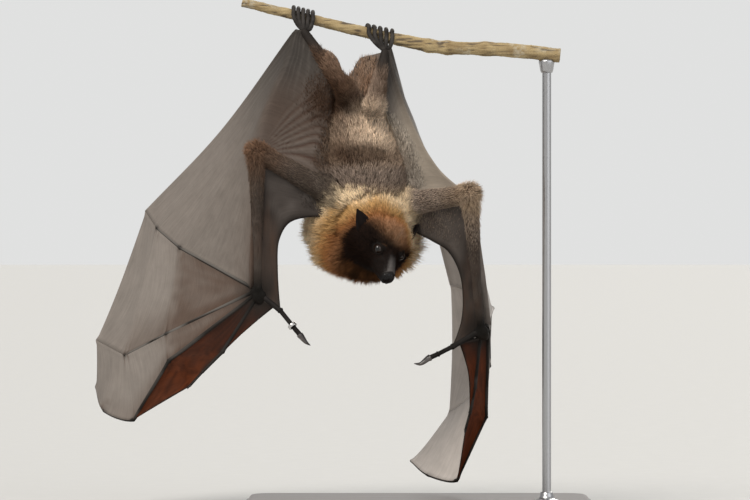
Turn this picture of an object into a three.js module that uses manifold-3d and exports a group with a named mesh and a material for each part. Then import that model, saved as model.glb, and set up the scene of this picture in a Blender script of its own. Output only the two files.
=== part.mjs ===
// A fruit bat that hangs by its feet from a cut length of branch, on a plain display stand.
// Millimetres, +Z up. The origin is under the middle of the stand's base. The bat's back is
// turned to -Y, its right wing reaches to -X, and both hands swing back to +Y.
import * as THREE from "three";
import { mergeVertices } from "three/addons/utils/BufferGeometryUtils.js";
import Module from "manifold-3d";

const wasm = await Module();
wasm.setup();

// Clearances, wall thickness and mesh grain.
const GAP = 0.3; // between neighbouring pieces
const SKIN = 0.7; // thickness of the wing and leg membranes
const WELD = 1e-4; // distance within which vertices are one
const SMOOTH = 0.1; // depth of the creases that a cut leaves and that are closed again
const EASE = 0.12; // share of a bone that bends at each joint
const DOME = 0.7; // width of the last hoop on a rounded end
const SIDES = { body: 16, limb: 10, thumb: 6, finger: 5, toe: 5, ear: 10, ring: 6 };
const SPANS = { upperArm: 4, forearm: 6, thigh: 3, shin: 4, claw: 4, toe: 7, ear: 6, ring: 12 };

// The display stand.
const BASE = { length: 320, depth: 240, height: 12, corner: 24, edge: 2, arcs: 4 };
const ROD = { x: 114, y: -20, radius: 4, sides: 16 };

// The cut length of branch: its middle line, and its radius at the thin and the thick end.
const PERCH = {
  line: [
    [-160, -20, 462], [-126, -20, 453.6], [-90, -20, 444.6], [-50, -20, 435.2],
    [-22, -20, 428.9], [18, -20, 421.7], [72, -20, 419.5], [126, -20, 414],
  ],
  thin: 4.2,
  thick: 6.6,
  knots: [{ x: 8, swell: 1.1 }, { x: 25, swell: 1.3 }, { x: 60, swell: 0.9 }],
  knotLength: 5,
  rings: 18,
  sides: 9,
};

// The head in its own axes: along the muzzle, out to the left ear, and up to the crown.
const HEAD = {
  centre: [-31.5, -28, 237.2],
  muzzle: [0.177, -0.671, -0.72],
  crown: [0.545, -0.543, 0.64],
  // From the nape to the nose: place along, half width, half height, rise of the middle.
  stations: [
    [-32, 24, 20, 1], [-24, 29, 25, 0], [-14, 30.5, 27, -1], [-5, 26.5, 24.5, -2],
    [2, 20.5, 19.5, -3], [9, 14.5, 15, -4], [16, 11, 11.5, -4.8], [22, 8.8, 9, -5.2],
    [27, 7, 7, -5.5], [30, 4.5, 4.5, -5.5],
  ],
  eye: { along: 4, out: 12, up: 5, radius: 5.2 },
  ear: {
    base: [-19, 19, 8],
    tip: [-31, 30.5, 17],
    half: 8.5,
    thick: 1.6,
    thin: 0.6,
    taper: 0.25,
    slant: 0.42,
    cup: 0.12,
  },
};

// Level stations: height, middle in X and Y, half width, half depth.
const TRUNK = [
  [394, -58, -14, 8, 8], [386, -57, -14, 20, 15], [374, -56, -12, 29, 20],
  [358, -54, -10, 34, 24.5], [342, -51.5, -8, 38.5, 27.5], [325, -48, -6.5, 41, 30],
  [310, -46, -5, 41.5, 31], [298, -45.5, -4, 40.5, 30], [288, -45, -4, 34, 26],
  [280, -45, -4, 24, 18],
];
const RUFF = [
  [301, -50, -4, 30, 25], [296, -50, -4, 38, 30], [289, -49, -3, 41, 32.5],
  [281, -48, -1, 43, 33], [273, -49, 3, 47, 33], [264, -53, 8, 54, 32.5],
  [252, -53, 11, 54.5, 31], [242, -50.5, 12, 53.5, 29.5], [234, -50.5, 12, 50.5, 28],
  [227, -50, 12, 46.5, 26], [220, -47.5, 11, 41, 23], [213, -45, 10, 33.5, 19],
  [207, -47, 9, 22, 13], [204, -48, 8, 10, 7],
];

// The joints of each side, and the few points that the free edges of the membranes pass.
const RIGHT = {
  name: "right",
  shoulder: [-70, -10, 284],
  elbow: [-147, -32, 328],
  wrist: [-145, -16, 200],
  thumb: [[-142, -17, 198], [-125.5, -26, 184.5], [-114.5, -32, 171], [-107, -34, 162]],
  thumbClaw: [[-106.4, -34.2, 161.3], [-102.5, -35.5, 156.5], [-98.5, -33, 153.5]],
  finger2: [[-146, -15, 197], [-178, -12, 147], [-196, -8, 129], [-208, -6, 116]],
  finger3: [[-149, -12, 198], [-227, 2, 138.5], [-261, 32, 84], [-290, 62, 91], [-299, 90, 112]],
  finger4: [[-150, -11, 201], [-230, 22, 162.5], [-270, 56, 142], [-299, 96, 155]],
  finger5: [[-149, -11, 204], [-219, 46, 241], [-242, 78, 259], [-254, 112, 275]],
  armpit: [-74, -14, 292],
  flank: [-76, -16, 330],
  groin: [-80, -20, 360],
  hip: [-60, -8, 362],
  knee: [-66, -38, 381],
  ankle: [-104, -28, 435],
  heel: [-111, -29, 437],
  trailing: [-180, 40, 348],
  fold: [[-139, -34, 365], [-124, -34, 400]],
  foreEdge: [[-84, -8, 268.5], [-101, -14, 268.5], [-118, -21, 263], [-126.5, -22, 248], [-128, -19, 222]],
  thumbEdge: [[-159, -17, 165]],
  crotch: [-65, -18, 386],
  tailEdge: [[-70, -20, 399], [-74.5, -22, 411], [-81, -24, 417.5], [-94, -27, 421.5]],
  toes: { middle: -105, spread: 4.3, lean: 0 },
};
const LEFT = {
  name: "left",
  shoulder: [-15, -4, 281],
  elbow: [44, -66, 289],
  wrist: [54, -14, 168],
  thumb: [[50, -16, 164], [29, -22, 152], [16, -27, 145.5], [8, -29, 142]],
  thumbClaw: [[7.2, -29.2, 141.6], [0.5, -31.5, 137], [-5.5, -29, 137]],
  finger2: [[54, -15, 160], [50, 10, 114], [46, 24, 91], [42, 33, 74.5]],
  finger3: [[61, -12, 162], [61, 44, 86], [35, 76, 26], [9, 108, 29], [-7, 138, 40.5]],
  finger4: [[62, -8, 166], [65, 76, 132], [53, 122, 103], [30, 162, 84]],
  finger5: [[60, -7, 171], [68, 80, 185], [60, 118, 195], [31, 144, 207]],
  armpit: [-12, -10, 289],
  flank: [-18, -16, 330],
  groin: [-24, -20, 358],
  hip: [-48, -8, 358],
  knee: [-41, -40, 369],
  ankle: [-31.5, -28, 417],
  heel: [-27, -29, 420],
  trailing: [3, 56, 312],
  fold: [[18, -50, 311], [-7, -34, 355], [-21, -30, 394]],
  foreEdge: [[-2, -6, 254], [12, -17, 246.5], [25, -28, 238], [34.5, -31, 221], [38.5, -24, 197]],
  thumbEdge: [[43.5, -6, 130]],
  crotch: [-63, -18, 386],
  tailEdge: [[-61, -20, 398], [-54, -22, 411], [-42, -26, 414.5]],
  toes: { middle: -35.5, spread: 5.2, lean: -0.8 },
};

// Radii at the joints, out to the tips of the short fur.
const RADII = {
  upperArm: [15, 11.5, 8.4],
  forearm: [7.8, 6.6, 4.6, 5.6],
  thumb: [3.4, 2.3, 2.2, 2.7],
  thumbClaw: [2.1, 1.6, 0.5],
  finger2: [2, 1.6, 1.2, 0.7],
  finger3: [2.1, 1.9, 1.5, 1.2, 0.9],
  finger4: [2.1, 1.8, 1.4, 0.9],
  finger5: [2.1, 1.8, 1.4, 0.9],
  thigh: [15, 12.5, 10],
  shin: [9.5, 7, 4.4],
  toe: [2.6, 2.1, 1.9, 1.8, 1.75, 1.5, 1.1, 0.5],
};

// The way of a toe over the perch: behind the perch's middle line, and above it.
const TOE = [[-9, -9], [-7.4, -1], [-4.6, 5.4], [0, 7.3], [5, 5.2], [7.4, 0.5], [5.8, -4.6]];
// How far each of those points has gone from the ankle to the toe's own place, and to its hook.
const TOE_PART = [0.6, 1, 1, 1, 1, 1, 1];
const TOE_LEAN = [0, 0, 0, 0.4, 0.7, 1, 1];

// The membranes: their grids, the shares of them that lie on each bone, and how far each free
// edge of the hand is drawn in.
const WEB = {
  wing: { grid: [16, 6], elbowAt: 0.36, lowerLeg: 0.35 },
  hand54: { grid: [6, 3], hollow: 0.08 },
  hand43: { grid: [7, 2], hollow: 0.02 },
  hand32: { grid: [5, 2], hollow: 0.03 },
  thumb: { grid: [5, 1], reach: 0.66, base: 0.7 },
  fore: { grid: [10, 2], elbowAt: 0.45 },
  leg: { grid: [6, 2] },
};

// The open ring on the right thumb: its place along the thumb, and the share of a turn it closes.
const RING = { at: 0.66, radius: 3.7, wire: 0.85, closed: 0.875 };

const v3 = (p) => new THREE.Vector3(...p);
const mix = (a, b, t) => a + (b - a) * t;
const between = (a, b, t) => v3(a).lerp(v3(b), t).toArray();

// The value at fraction t of a list of evenly spread values.
function along(values, t) {
  const place = Math.min(Math.max(t, 0), 1) * (values.length - 1);
  const low = Math.min(Math.floor(place), values.length - 2);
  return mix(values[low], values[low + 1], place - low);
}

// A smooth curve through points; point k of n lies at the fraction k / (n - 1).
function routeOf(points) {
  return new THREE.CatmullRomCurve3(points.map(v3), false, "centripetal");
}

// A line of straight bones that bends near the joints. Bones past the straight ones curve freely.
// It holds the curve, the fraction of it at each joint, and the hoops that it needs.
function bones(joints, straight = joints.length - 1) {
  const points = [];
  const marks = [];
  joints.forEach((joint, k) => {
    marks.push(points.length);
    points.push(joint);
    if (k < straight) {
      points.push(between(joint, joints[k + 1], EASE), between(joint, joints[k + 1], 1 - EASE));
    }
  });
  const spans = points.length - 1;
  const curve = routeOf(points);
  const fractions = marks.map((mark) => mark / spans);
  return { curve, fractions, spans, pointAt: (w) => curve.getPoint(along(fractions, w)) };
}

// ---------------------------------------------------------------- solids
// The manifold solid of a closed geometry, with its faces turned outwards.
function weld(geometry) {
  const bare = geometry.clone();
  bare.deleteAttribute("normal");
  bare.deleteAttribute("uv");
  const merged = mergeVertices(bare, WELD);
  const vertProperties = merged.attributes.position.array;
  const triVerts = new Uint32Array(merged.index.array);
  const make = () => new wasm.Manifold(new wasm.Mesh({ numProp: 3, vertProperties, triVerts }));
  const solid = make();
  if (solid.volume() > 0) return solid;
  for (let i = 0; i < triVerts.length; i += 3) {
    [triVerts[i + 1], triVerts[i + 2]] = [triVerts[i + 2], triVerts[i + 1]];
  }
  return make();
}

function solidOf(points, faces) {
  return weld(new THREE.BufferGeometry().setFromPoints(points).setIndex(faces));
}

// A closed body through hoops of equal length, each end closed by a fan to a point.
function loft(hoops, first, last) {
  const sides = hoops[0].length;
  const points = [...hoops.flat(), first, last];
  const [start, finish] = [points.length - 2, points.length - 1];
  const end = (hoops.length - 1) * sides;
  const faces = [];
  for (let j = 0; j < sides; j++) {
    const next = (j + 1) % sides;
    for (let row = 0; row < end; row += sides) {
      faces.push(row + j, row + next, row + next + sides);
      faces.push(row + j, row + next + sides, row + j + sides);
    }
    faces.push(start, next, j, finish, end + j, end + next);
  }
  return solidOf(points, faces);
}

// An elliptical hoop about a middle point, with its two half axes as vectors.
function hoop(middle, wide, high, sides) {
  return Array.from({ length: sides }, (_, j) => {
    const turn = (2 * Math.PI * j) / sides;
    return middle.clone().addScaledVector(wide, Math.cos(turn)).addScaledVector(high, Math.sin(turn));
  });
}

// A round limb along a curve. The radius is a function of the fraction, or a list of values.
function tube(curve, radius, { sides = 8, spans = 12, grow = 0, dome = true } = {}) {
  const radiusAt = (t) => (typeof radius === "function" ? radius(t) : along(radius, t)) + grow;
  const frames = curve.computeFrenetFrames(spans);
  const ring = (index, size, push) => {
    const middle = curve.getPoint(index / spans).addScaledVector(frames.tangents[index], push);
    const wide = frames.normals[index].clone().multiplyScalar(size);
    const high = frames.binormals[index].clone().multiplyScalar(size);
    return hoop(middle, wide, high, sides);
  };
  const hoops = Array.from({ length: spans + 1 }, (_, i) => ring(i, radiusAt(i / spans), 0));
  const [start, finish] = dome ? [radiusAt(0), radiusAt(1)] : [0, 0];
  if (dome) {
    hoops.unshift(ring(0, start * DOME, -start * DOME));
    hoops.push(ring(spans, finish * DOME, finish * DOME));
  }
  const first = curve.getPoint(0).addScaledVector(frames.tangents[0], -start);
  const last = curve.getPoint(1).addScaledVector(frames.tangents[spans], finish);
  return loft(hoops, first, last);
}

// A limb of straight bones, with a radius at each joint.
function boned(joints, radii, { straight, grow = 0, sides = SIDES.finger } = {}) {
  const line = bones(joints, straight);
  const last = radii.length - 1;
  const radius = (t) => {
    const next = line.fractions.findIndex((mark, k) => k > 0 && t <= mark + WELD);
    const k = next < 0 ? last : next;
    const [low, high] = [line.fractions[k - 1], line.fractions[k]];
    return mix(radii[k - 1], radii[k], (t - low) / (high - low));
  };
  return tube(line.curve, radius, { sides, grow, spans: line.spans });
}

// A closed body through level elliptical stations.
function level(stations, grow = 0) {
  const hoops = stations.map(([z, x, y, wide, deep]) =>
    hoop(v3([x, y, z]), v3([wide + grow, 0, 0]), v3([0, deep + grow, 0]), SIDES.body),
  );
  const cap = ([z, x, y], push) => v3([x, y, z + push]);
  return loft(hoops, cap(stations[0], 2 + grow), cap(stations[stations.length - 1], -2 - grow));
}

// A thin closed sheet over a surface given as a function of two fractions.
function sheet(surface, across, down) {
  const step = 0.02;
  const normalAt = (u, v) => {
    const du = surface(Math.min(u + step, 1), v).sub(surface(Math.max(u - step, 0), v));
    const dv = surface(u, Math.min(v + step, 1)).sub(surface(u, Math.max(v - step, 0)));
    return du.cross(dv).normalize();
  };
  const points = [];
  for (const side of [0.5, -0.5]) {
    for (let i = 0; i <= across; i++) {
      for (let j = 0; j <= down; j++) {
        const [u, v] = [i / across, j / down];
        points.push(surface(u, v).addScaledVector(normalAt(u, v), side * SKIN));
      }
    }
  }
  const row = down + 1;
  const back = (across + 1) * row;
  const faces = [];
  for (let i = 0; i < across; i++) {
    for (let j = 0; j < down; j++) {
      const a = i * row + j;
      const b = a + row;
      faces.push(a, b, b + 1, a, b + 1, a + 1);
      faces.push(back + a, back + b + 1, back + b, back + a, back + a + 1, back + b + 1);
    }
  }
  const rim = [];
  for (let i = 0; i < across; i++) rim.push(i * row);
  for (let j = 0; j < down; j++) rim.push(across * row + j);
  for (let i = across; i > 0; i--) rim.push(i * row + down);
  for (let j = down; j > 0; j--) rim.push(j);
  rim.forEach((a, k) => {
    const b = rim[(k + 1) % rim.length];
    faces.push(a, back + a, back + b, a, back + b, b);
  });
  return solidOf(points, faces);
}

// The solid less all the tools; where that leaves several bodies, the largest.
function cut(solid, ...tools) {
  const rest = tools.flat().reduce((left, tool) => left.subtract(tool), solid);
  const largest = rest.decompose().reduce((a, b) => (b.volume() > a.volume() ? b : a));
  return largest.simplify(SMOOTH);
}

const join = (solids) => solids.reduce((all, next) => all.add(next));

// ---------------------------------------------------------------- materials and pieces
const FINISH = {
  back: [0x5d5048, 0.95, 0],
  ruff: [0xb98d52, 0.95, 0],
  face: [0x1d1512, 0.9, 0],
  arm: [0x3a322e, 0.9, 0],
  membrane: [0x514c4b, 0.7, 0],
  claw: [0x14110f, 0.4, 0],
  eye: [0x24150c, 0.1, 0],
  bark: [0x8a7a66, 0.9, 0],
  steel: [0x9a9c9e, 0.4, 1],
  base: [0x2b2a29, 0.5, 0],
};

const model = new THREE.Group();

// Adds the solid to the model as a named mesh in its finish.
function add(name, solid, [color, roughness, metalness]) {
  const { vertProperties, triVerts, numProp } = solid.getMesh();
  const points = [];
  for (let i = 0; i < vertProperties.length; i += numProp) {
    points.push(new THREE.Vector3().fromArray(vertProperties, i));
  }
  const geometry = new THREE.BufferGeometry().setFromPoints(points).setIndex(Array.from(triVerts));
  geometry.computeVertexNormals();
  const mesh = new THREE.Mesh(geometry, new THREE.MeshStandardMaterial({ color, roughness, metalness }));
  mesh.name = name;
  model.add(mesh);
}

// ---------------------------------------------------------------- the perch
const perchCurve = routeOf(PERCH.line);

function perchRadius(t) {
  const { x } = perchCurve.getPoint(t);
  const swell = ({ x: at, swell: height }) => height * Math.exp(-(((x - at) / PERCH.knotLength) ** 2));
  return PERCH.knots.reduce((sum, knot) => sum + swell(knot), mix(PERCH.thin, PERCH.thick, t));
}

function perchSolid(grow = 0) {
  const { sides, rings } = PERCH;
  return tube(perchCurve, perchRadius, { sides, grow, spans: rings, dome: false });
}

// The height of the perch's middle line at a place along X.
function perchHeight(x) {
  let [low, high] = [0, 1];
  for (let i = 0; i < 30; i++) {
    const middle = (low + high) / 2;
    if (perchCurve.getPoint(middle).x < x) low = middle;
    else high = middle;
  }
  return perchCurve.getPoint(low).z;
}

// ---------------------------------------------------------------- head
const muzzle = v3(HEAD.muzzle).normalize();
const leftward = v3(HEAD.crown).cross(muzzle).normalize();
const crown = muzzle.clone().cross(leftward);

function inHead(forward, out, up) {
  const place = v3(HEAD.centre).addScaledVector(muzzle, forward);
  return place.addScaledVector(leftward, out).addScaledVector(crown, up);
}

function headSolid(grow = 0) {
  const scaled = (axis, size) => axis.clone().multiplyScalar(size + grow);
  const hoops = HEAD.stations.map(([at, wide, high, rise]) =>
    hoop(inHead(at, 0, rise), scaled(leftward, wide), scaled(crown, high), SIDES.body),
  );
  const [nape, nose] = [HEAD.stations[0], HEAD.stations[HEAD.stations.length - 1]];
  return loft(hoops, inHead(nape[0] - 3 - grow, 0, nape[3]), inHead(nose[0] + 1 + grow, 0, nose[3]));
}

function eyeSolid(side, grow = 0) {
  const { along: forward, out, up, radius } = HEAD.eye;
  const ball = new THREE.IcosahedronGeometry(radius + grow, 2);
  const middle = inHead(forward, side * out, up);
  return weld(ball.translate(middle.x, middle.y, middle.z));
}

// A pointed, slightly cupped ear, a leaf of oval hoops from its root to its tip.
function earSolid(side, grow = 0) {
  const { base, tip, half, thick, thin, taper, slant, cup } = HEAD.ear;
  const root = inHead(base[0], side * base[1], base[2]);
  const rise = inHead(tip[0], side * tip[1], tip[2]).sub(root);
  const wide = leftward.clone().multiplyScalar(side).addScaledVector(crown, -slant);
  wide.addScaledVector(rise, -wide.dot(rise) / rise.lengthSq()).normalize();
  const face = rise.clone().cross(wide).normalize();
  const hoops = Array.from({ length: SPANS.ear }, (_, i) => {
    const t = i / SPANS.ear;
    const width = half * Math.sqrt(1 - t * t) * (1 - taper * t) + grow;
    const depth = mix(thick, thin, t) + grow;
    const middle = root.clone().addScaledVector(rise, t);
    const across = wide.clone().multiplyScalar(width);
    const oval = hoop(middle, across, face.clone().multiplyScalar(depth), SIDES.ear);
    const curl = (j) => cup * width * Math.cos((2 * Math.PI * j) / SIDES.ear) ** 2;
    oval.forEach((point, j) => point.addScaledVector(face, curl(j)));
    return oval;
  });
  const point = root.clone().addScaledVector(rise, 1).addScaledVector(rise.clone().normalize(), grow);
  return loft(hoops, root, point);
}

const grown = {
  head: headSolid(GAP),
  ears: [earSolid(1, GAP), earSolid(-1, GAP)],
  eyes: [eyeSolid(1, GAP), eyeSolid(-1, GAP)],
  ruff: level(RUFF, GAP),
  trunk: level(TRUNK, GAP),
  perch: perchSolid(GAP),
};

add("head", cut(headSolid(), grown.eyes), FINISH.face);
add("eye_left", eyeSolid(1), FINISH.eye);
add("eye_right", eyeSolid(-1), FINISH.eye);
add("ear_left", cut(earSolid(1), grown.head), FINISH.face);
add("ear_right", cut(earSolid(-1), grown.head), FINISH.face);
add("neck", cut(level(RUFF), grown.head, grown.ears, grown.eyes), FINISH.ruff);
add("trunk", cut(level(TRUNK), grown.ruff, grown.head), FINISH.back);

// ---------------------------------------------------------------- feet
// Five toes that part from the heel, pass over the perch and hook down behind it.
function footSolid({ ankle, toes }, grow = 0) {
  const middleY = PERCH.line[0][1];
  return join(
    [-2, -1, 0, 1, 2].map((place) => {
      const x = toes.middle + place * toes.spread;
      const lean = toes.lean * (2 - place);
      const z = perchHeight(x);
      const path = TOE.map(([behind, above], k) => [
        mix(ankle[0], x, TOE_PART[k]) + TOE_LEAN[k] * lean,
        middleY + behind,
        z + above,
      ]);
      const heel = [ankle[0] + place, ankle[1], ankle[2] + 3];
      return tube(routeOf([heel, ...path]), RADII.toe, { sides: SIDES.toe, spans: SPANS.toe, grow });
    }),
  );
}

// ---------------------------------------------------------------- wings and legs
// A ruled surface between two curves.
function ruled(near, far) {
  return (u, v) => near(u).lerp(far(u), v);
}

// A smooth patch inside four edges that meet at their ends.
function patch(bottom, top, left, right) {
  const corner = (u, v) => (v ? top : bottom)(u);
  return (u, v) => {
    const rows = bottom(u).lerp(top(u), v);
    const columns = left(v).lerp(right(v), u);
    const low = corner(0, 0).lerp(corner(1, 0), u);
    const high = corner(0, 1).lerp(corner(1, 1), u);
    return rows.add(columns).sub(low.lerp(high, v));
  };
}

// The hand's panel between two fingers, its free edge drawn in by the given share.
function handPanel(near, far, hollow) {
  return (u, v) => {
    const reach = u * (1 - hollow * 4 * v * (1 - v));
    return near(reach).lerp(far(reach), v);
  };
}

function buildSide(side) {
  const { name, shoulder, elbow, wrist, hip, knee, ankle, heel } = side;
  const named = (part) => part + "_" + name;
  const upperArm = routeOf([shoulder, between(shoulder, elbow, 0.5), elbow]);
  const forearm = routeOf([elbow, between(elbow, wrist, 0.33), between(elbow, wrist, 0.67), wrist]);
  const thigh = routeOf([hip, between(hip, knee, 0.5), knee]);
  const shin = routeOf([knee, between(knee, ankle, 0.5), ankle]);
  const fingers = [2, 3, 4, 5].map((n) => "finger" + n);
  const straight = { finger3: 2 };
  const lines = Object.fromEntries(fingers.map((key) => [key, bones(side[key], straight[key])]));
  const limb = (curve, key) => (grow) =>
    tube(curve, RADII[key], { sides: SIDES.limb, spans: SPANS[key], grow });
  const make = {
    upper_arm: limb(upperArm, "upperArm"),
    forearm: limb(forearm, "forearm"),
    thumb: (grow) => boned(side.thumb, RADII.thumb, { sides: SIDES.thumb, grow }),
    thumb_claw: (grow) =>
      tube(routeOf(side.thumbClaw), RADII.thumbClaw, { sides: SIDES.thumb, spans: SPANS.claw, grow }),
    thigh: limb(thigh, "thigh"),
    shin: limb(shin, "shin"),
    foot: (grow) => footSolid(side, grow),
  };
  for (const key of fingers) {
    make[key.replace("finger", "finger_")] = (grow) =>
      boned(side[key], RADII[key], { straight: straight[key], grow });
  }
  const fat = Object.fromEntries(Object.entries(make).map(([key, solid]) => [key, solid(GAP)]));
  const body = [grown.trunk, grown.ruff, grown.head];
  const cutBy = {
    upper_arm: body,
    forearm: [fat.upper_arm],
    thumb: [fat.forearm],
    finger_2: [fat.forearm, fat.thumb],
    finger_3: [fat.forearm, fat.thumb, fat.finger_2],
    finger_4: [fat.forearm, fat.finger_3],
    finger_5: [fat.forearm, fat.finger_4],
    thumb_claw: [fat.thumb],
    thigh: body,
    shin: [fat.thigh, grown.trunk],
    foot: [fat.shin, grown.perch],
  };
  for (const [key, tools] of Object.entries(cutBy)) {
    add(named(key), cut(make[key](0), tools), key === "thumb_claw" ? FINISH.claw : FINISH.arm);
  }

  // Membranes run between the bones, and every solid is cut out of them.
  const solids = [...body, ...Object.values(fat), grown.perch];
  const web = (part, surface, [across, down]) =>
    add(named(part), cut(sheet(surface, across, down), solids), FINISH.membrane);
  const at = (curve) => (t) => curve.getPoint(t);
  const { finger2, finger3, finger4, finger5 } = lines;

  const lowerLeg = between(knee, ankle, WEB.wing.lowerLeg);
  const armLine = routeOf([side.armpit, between(side.armpit, elbow, 0.5), elbow]);
  const leg = routeOf([side.groin, lowerLeg, ankle, heel]);
  const flank = routeOf([side.armpit, side.flank, side.groin]);
  const fold = routeOf([elbow, ...side.fold, heel]);
  const radius = routeOf([elbow, between(elbow, side.finger5[0], 0.5), side.finger5[0]]);
  const trailing = routeOf([heel, side.trailing, side.finger5.at(-1)]);
  const inner = patch(at(armLine), at(leg), at(flank), at(fold));
  const outer = patch(at(radius), at(trailing), at(fold), finger5.pointAt);
  const bend = WEB.wing.elbowAt;
  const wing = (u, v) => (u < bend ? inner(u / bend, v) : outer((u - bend) / (1 - bend), v));
  web("wing_membrane", wing, WEB.wing.grid);

  const { hand54, hand43, hand32 } = WEB;
  const [start, first, second] = finger3.fractions;
  const finger3Whole = (w) => finger3.curve.getPoint(along([start, first, second, 1], w));
  const finger3Half = (w) => finger3.curve.getPoint(w * second);
  web("hand_membrane_5_4", handPanel(finger5.pointAt, finger4.pointAt, hand54.hollow), hand54.grid);
  web("hand_membrane_4_3", handPanel(finger4.pointAt, finger3Whole, hand43.hollow), hand43.grid);
  web("hand_membrane_3_2", handPanel(finger3Half, finger2.pointAt, hand32.hollow), hand32.grid);

  const thumbBase = between(side.thumb[0], side.thumb[1], WEB.thumb.base);
  const thumbEdge = routeOf([thumbBase, ...side.thumbEdge, side.finger2[2]]);
  const finger2Part = (w) => finger2.pointAt(w * WEB.thumb.reach);
  web("thumb_membrane", ruled(finger2Part, at(thumbEdge)), WEB.thumb.grid);

  const elbowAt = WEB.fore.elbowAt;
  const arm = (u) =>
    u < elbowAt ? upperArm.getPoint(u / elbowAt) : forearm.getPoint((u - elbowAt) / (1 - elbowAt));
  const foreEdge = routeOf([...side.foreEdge, side.thumb[1]]);
  web("fore_membrane", ruled(arm, at(foreEdge)), WEB.fore.grid);

  const innerLeg = routeOf([knee, lowerLeg, ankle]);
  const tailEdge = routeOf([side.crotch, ...side.tailEdge, ankle]);
  web("leg_membrane", ruled(at(innerLeg), at(tailEdge)), WEB.leg.grid);
}

buildSide(RIGHT);
buildSide(LEFT);

// ---------------------------------------------------------------- thumb ring, perch and stand
const thumbLine = bones(RIGHT.thumb).curve;
const ringMiddle = thumbLine.getPoint(RING.at);
const ringAxis = thumbLine.getTangent(RING.at);
const ringWide = new THREE.Vector3(0, 0, 1).cross(ringAxis).normalize();
const ringHigh = ringAxis.clone().cross(ringWide);
const ringCurve = routeOf(
  Array.from({ length: SPANS.ring + 1 }, (_, k) => {
    const turn = (2 * Math.PI * RING.closed * k) / SPANS.ring;
    const point = ringMiddle.clone().addScaledVector(ringWide, RING.radius * Math.cos(turn));
    return point.addScaledVector(ringHigh, RING.radius * Math.sin(turn)).toArray();
  }),
);
const ringSolid = tube(ringCurve, () => RING.wire, { sides: SIDES.ring, spans: SPANS.ring });
add("thumb_ring", ringSolid, FINISH.steel);

add("perch", perchSolid(), FINISH.bark);

function baseSolid() {
  const { length, depth, height, corner, edge, arcs } = BASE;
  const [x, y, r] = [length / 2 - edge, depth / 2 - edge, corner - edge];
  const plan = new THREE.Shape();
  plan.absarc(x - r, y - r, r, 0, Math.PI / 2);
  plan.absarc(r - x, y - r, r, Math.PI / 2, Math.PI);
  plan.absarc(r - x, r - y, r, Math.PI, 1.5 * Math.PI);
  plan.absarc(x - r, r - y, r, 1.5 * Math.PI, 2 * Math.PI);
  const slab = new THREE.ExtrudeGeometry(plan, {
    depth: height - 2 * edge,
    bevelThickness: edge,
    bevelSize: edge,
    bevelSegments: 1,
    curveSegments: arcs,
  });
  return weld(slab.translate(0, 0, edge));
}
add("stand_base", baseSolid(), FINISH.base);

const rodCurve = new THREE.LineCurve3(
  v3([ROD.x, ROD.y, BASE.height + GAP]),
  v3([ROD.x, ROD.y, perchHeight(ROD.x)]),
);
const rodSolid = tube(rodCurve, () => ROD.radius, { sides: ROD.sides, spans: 1, dome: false });
add("stand_rod", cut(rodSolid, grown.perch), FINISH.steel);

export default model;
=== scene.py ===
"""The looks of a fruit bat that hangs by its feet from a cut branch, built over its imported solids.

Sizes are in millimetres until a mesh is made. The bat's back is turned to -Y, its right wing
reaches to -X, and both hands swing back to +Y.
"""
import itertools
import logging
import math
from dataclasses import dataclass, field
from enum import Enum
from typing import Callable, Sequence

import bpy
import numpy as np
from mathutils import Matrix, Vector
from mathutils.bvhtree import BVHTree


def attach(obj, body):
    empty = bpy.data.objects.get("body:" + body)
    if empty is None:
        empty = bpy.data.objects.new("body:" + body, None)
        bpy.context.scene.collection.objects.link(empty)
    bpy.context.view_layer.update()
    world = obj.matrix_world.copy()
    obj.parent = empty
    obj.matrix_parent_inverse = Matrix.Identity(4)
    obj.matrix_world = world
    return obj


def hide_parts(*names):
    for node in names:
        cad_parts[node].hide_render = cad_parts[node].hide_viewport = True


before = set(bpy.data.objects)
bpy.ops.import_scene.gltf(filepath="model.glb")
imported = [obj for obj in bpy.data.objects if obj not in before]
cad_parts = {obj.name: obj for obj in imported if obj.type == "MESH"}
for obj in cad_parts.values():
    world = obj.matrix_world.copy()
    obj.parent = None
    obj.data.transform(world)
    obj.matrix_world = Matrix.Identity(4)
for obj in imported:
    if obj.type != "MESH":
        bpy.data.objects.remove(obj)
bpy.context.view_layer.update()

logging.basicConfig(level=logging.INFO, format="%(message)s")
log = logging.getLogger("fruit_bat")

Array = np.ndarray
Curve = Callable[[Array], Array]
Surface = Callable[[Array, Array], Array]

MM = 0.001
EASE = 0.12  # share of a bone that bends at each joint
DOME = (70.0, 45.0, 22.0)  # degrees of the hoops on a limb's rounded end
HALF_WEB = 0.25  # half the thickness of the bare wing skin
NO_TRIS = np.zeros((0, 3), int)
TUFT_PATCH = 0.003  # width of a tuft's place on the unwrapped skin


# ---------------------------------------------------------------- small arithmetic
def ramp(value: Array, low: float, high: float) -> Array:
    """A smooth step from 0 at low to 1 at high."""
    t = np.clip((np.asarray(value, float) - low) / (high - low), 0.0, 1.0)
    return t * t * (3.0 - 2.0 * t)


def unit(vectors: Array) -> Array:
    """The vectors at length one."""
    return vectors / np.maximum(np.linalg.norm(vectors, axis=-1, keepdims=True), 1e-9)


def blob(points: Array, centre: Sequence[float], radii: Sequence[float] | float) -> Array:
    """A soft spot: 1 at the centre, falling off over the radii."""
    return np.exp(-(((points - np.asarray(centre)) / np.asarray(radii)) ** 2).sum(-1))


def hump(value: Array, width: float) -> Array:
    """1 at a value of 0, falling off over the width."""
    return np.exp(-((value / width) ** 2))


def far_from(points: Array, centre: Sequence[float]) -> Array:
    """How far points lie from a centre."""
    return np.linalg.norm(points - np.array(centre), axis=-1)


def close_to(points: Array, centre: Sequence[float], width: float) -> Array:
    """A round spot: 1 at the centre, falling off over the width."""
    return hump(far_from(points, centre), width)


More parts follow.
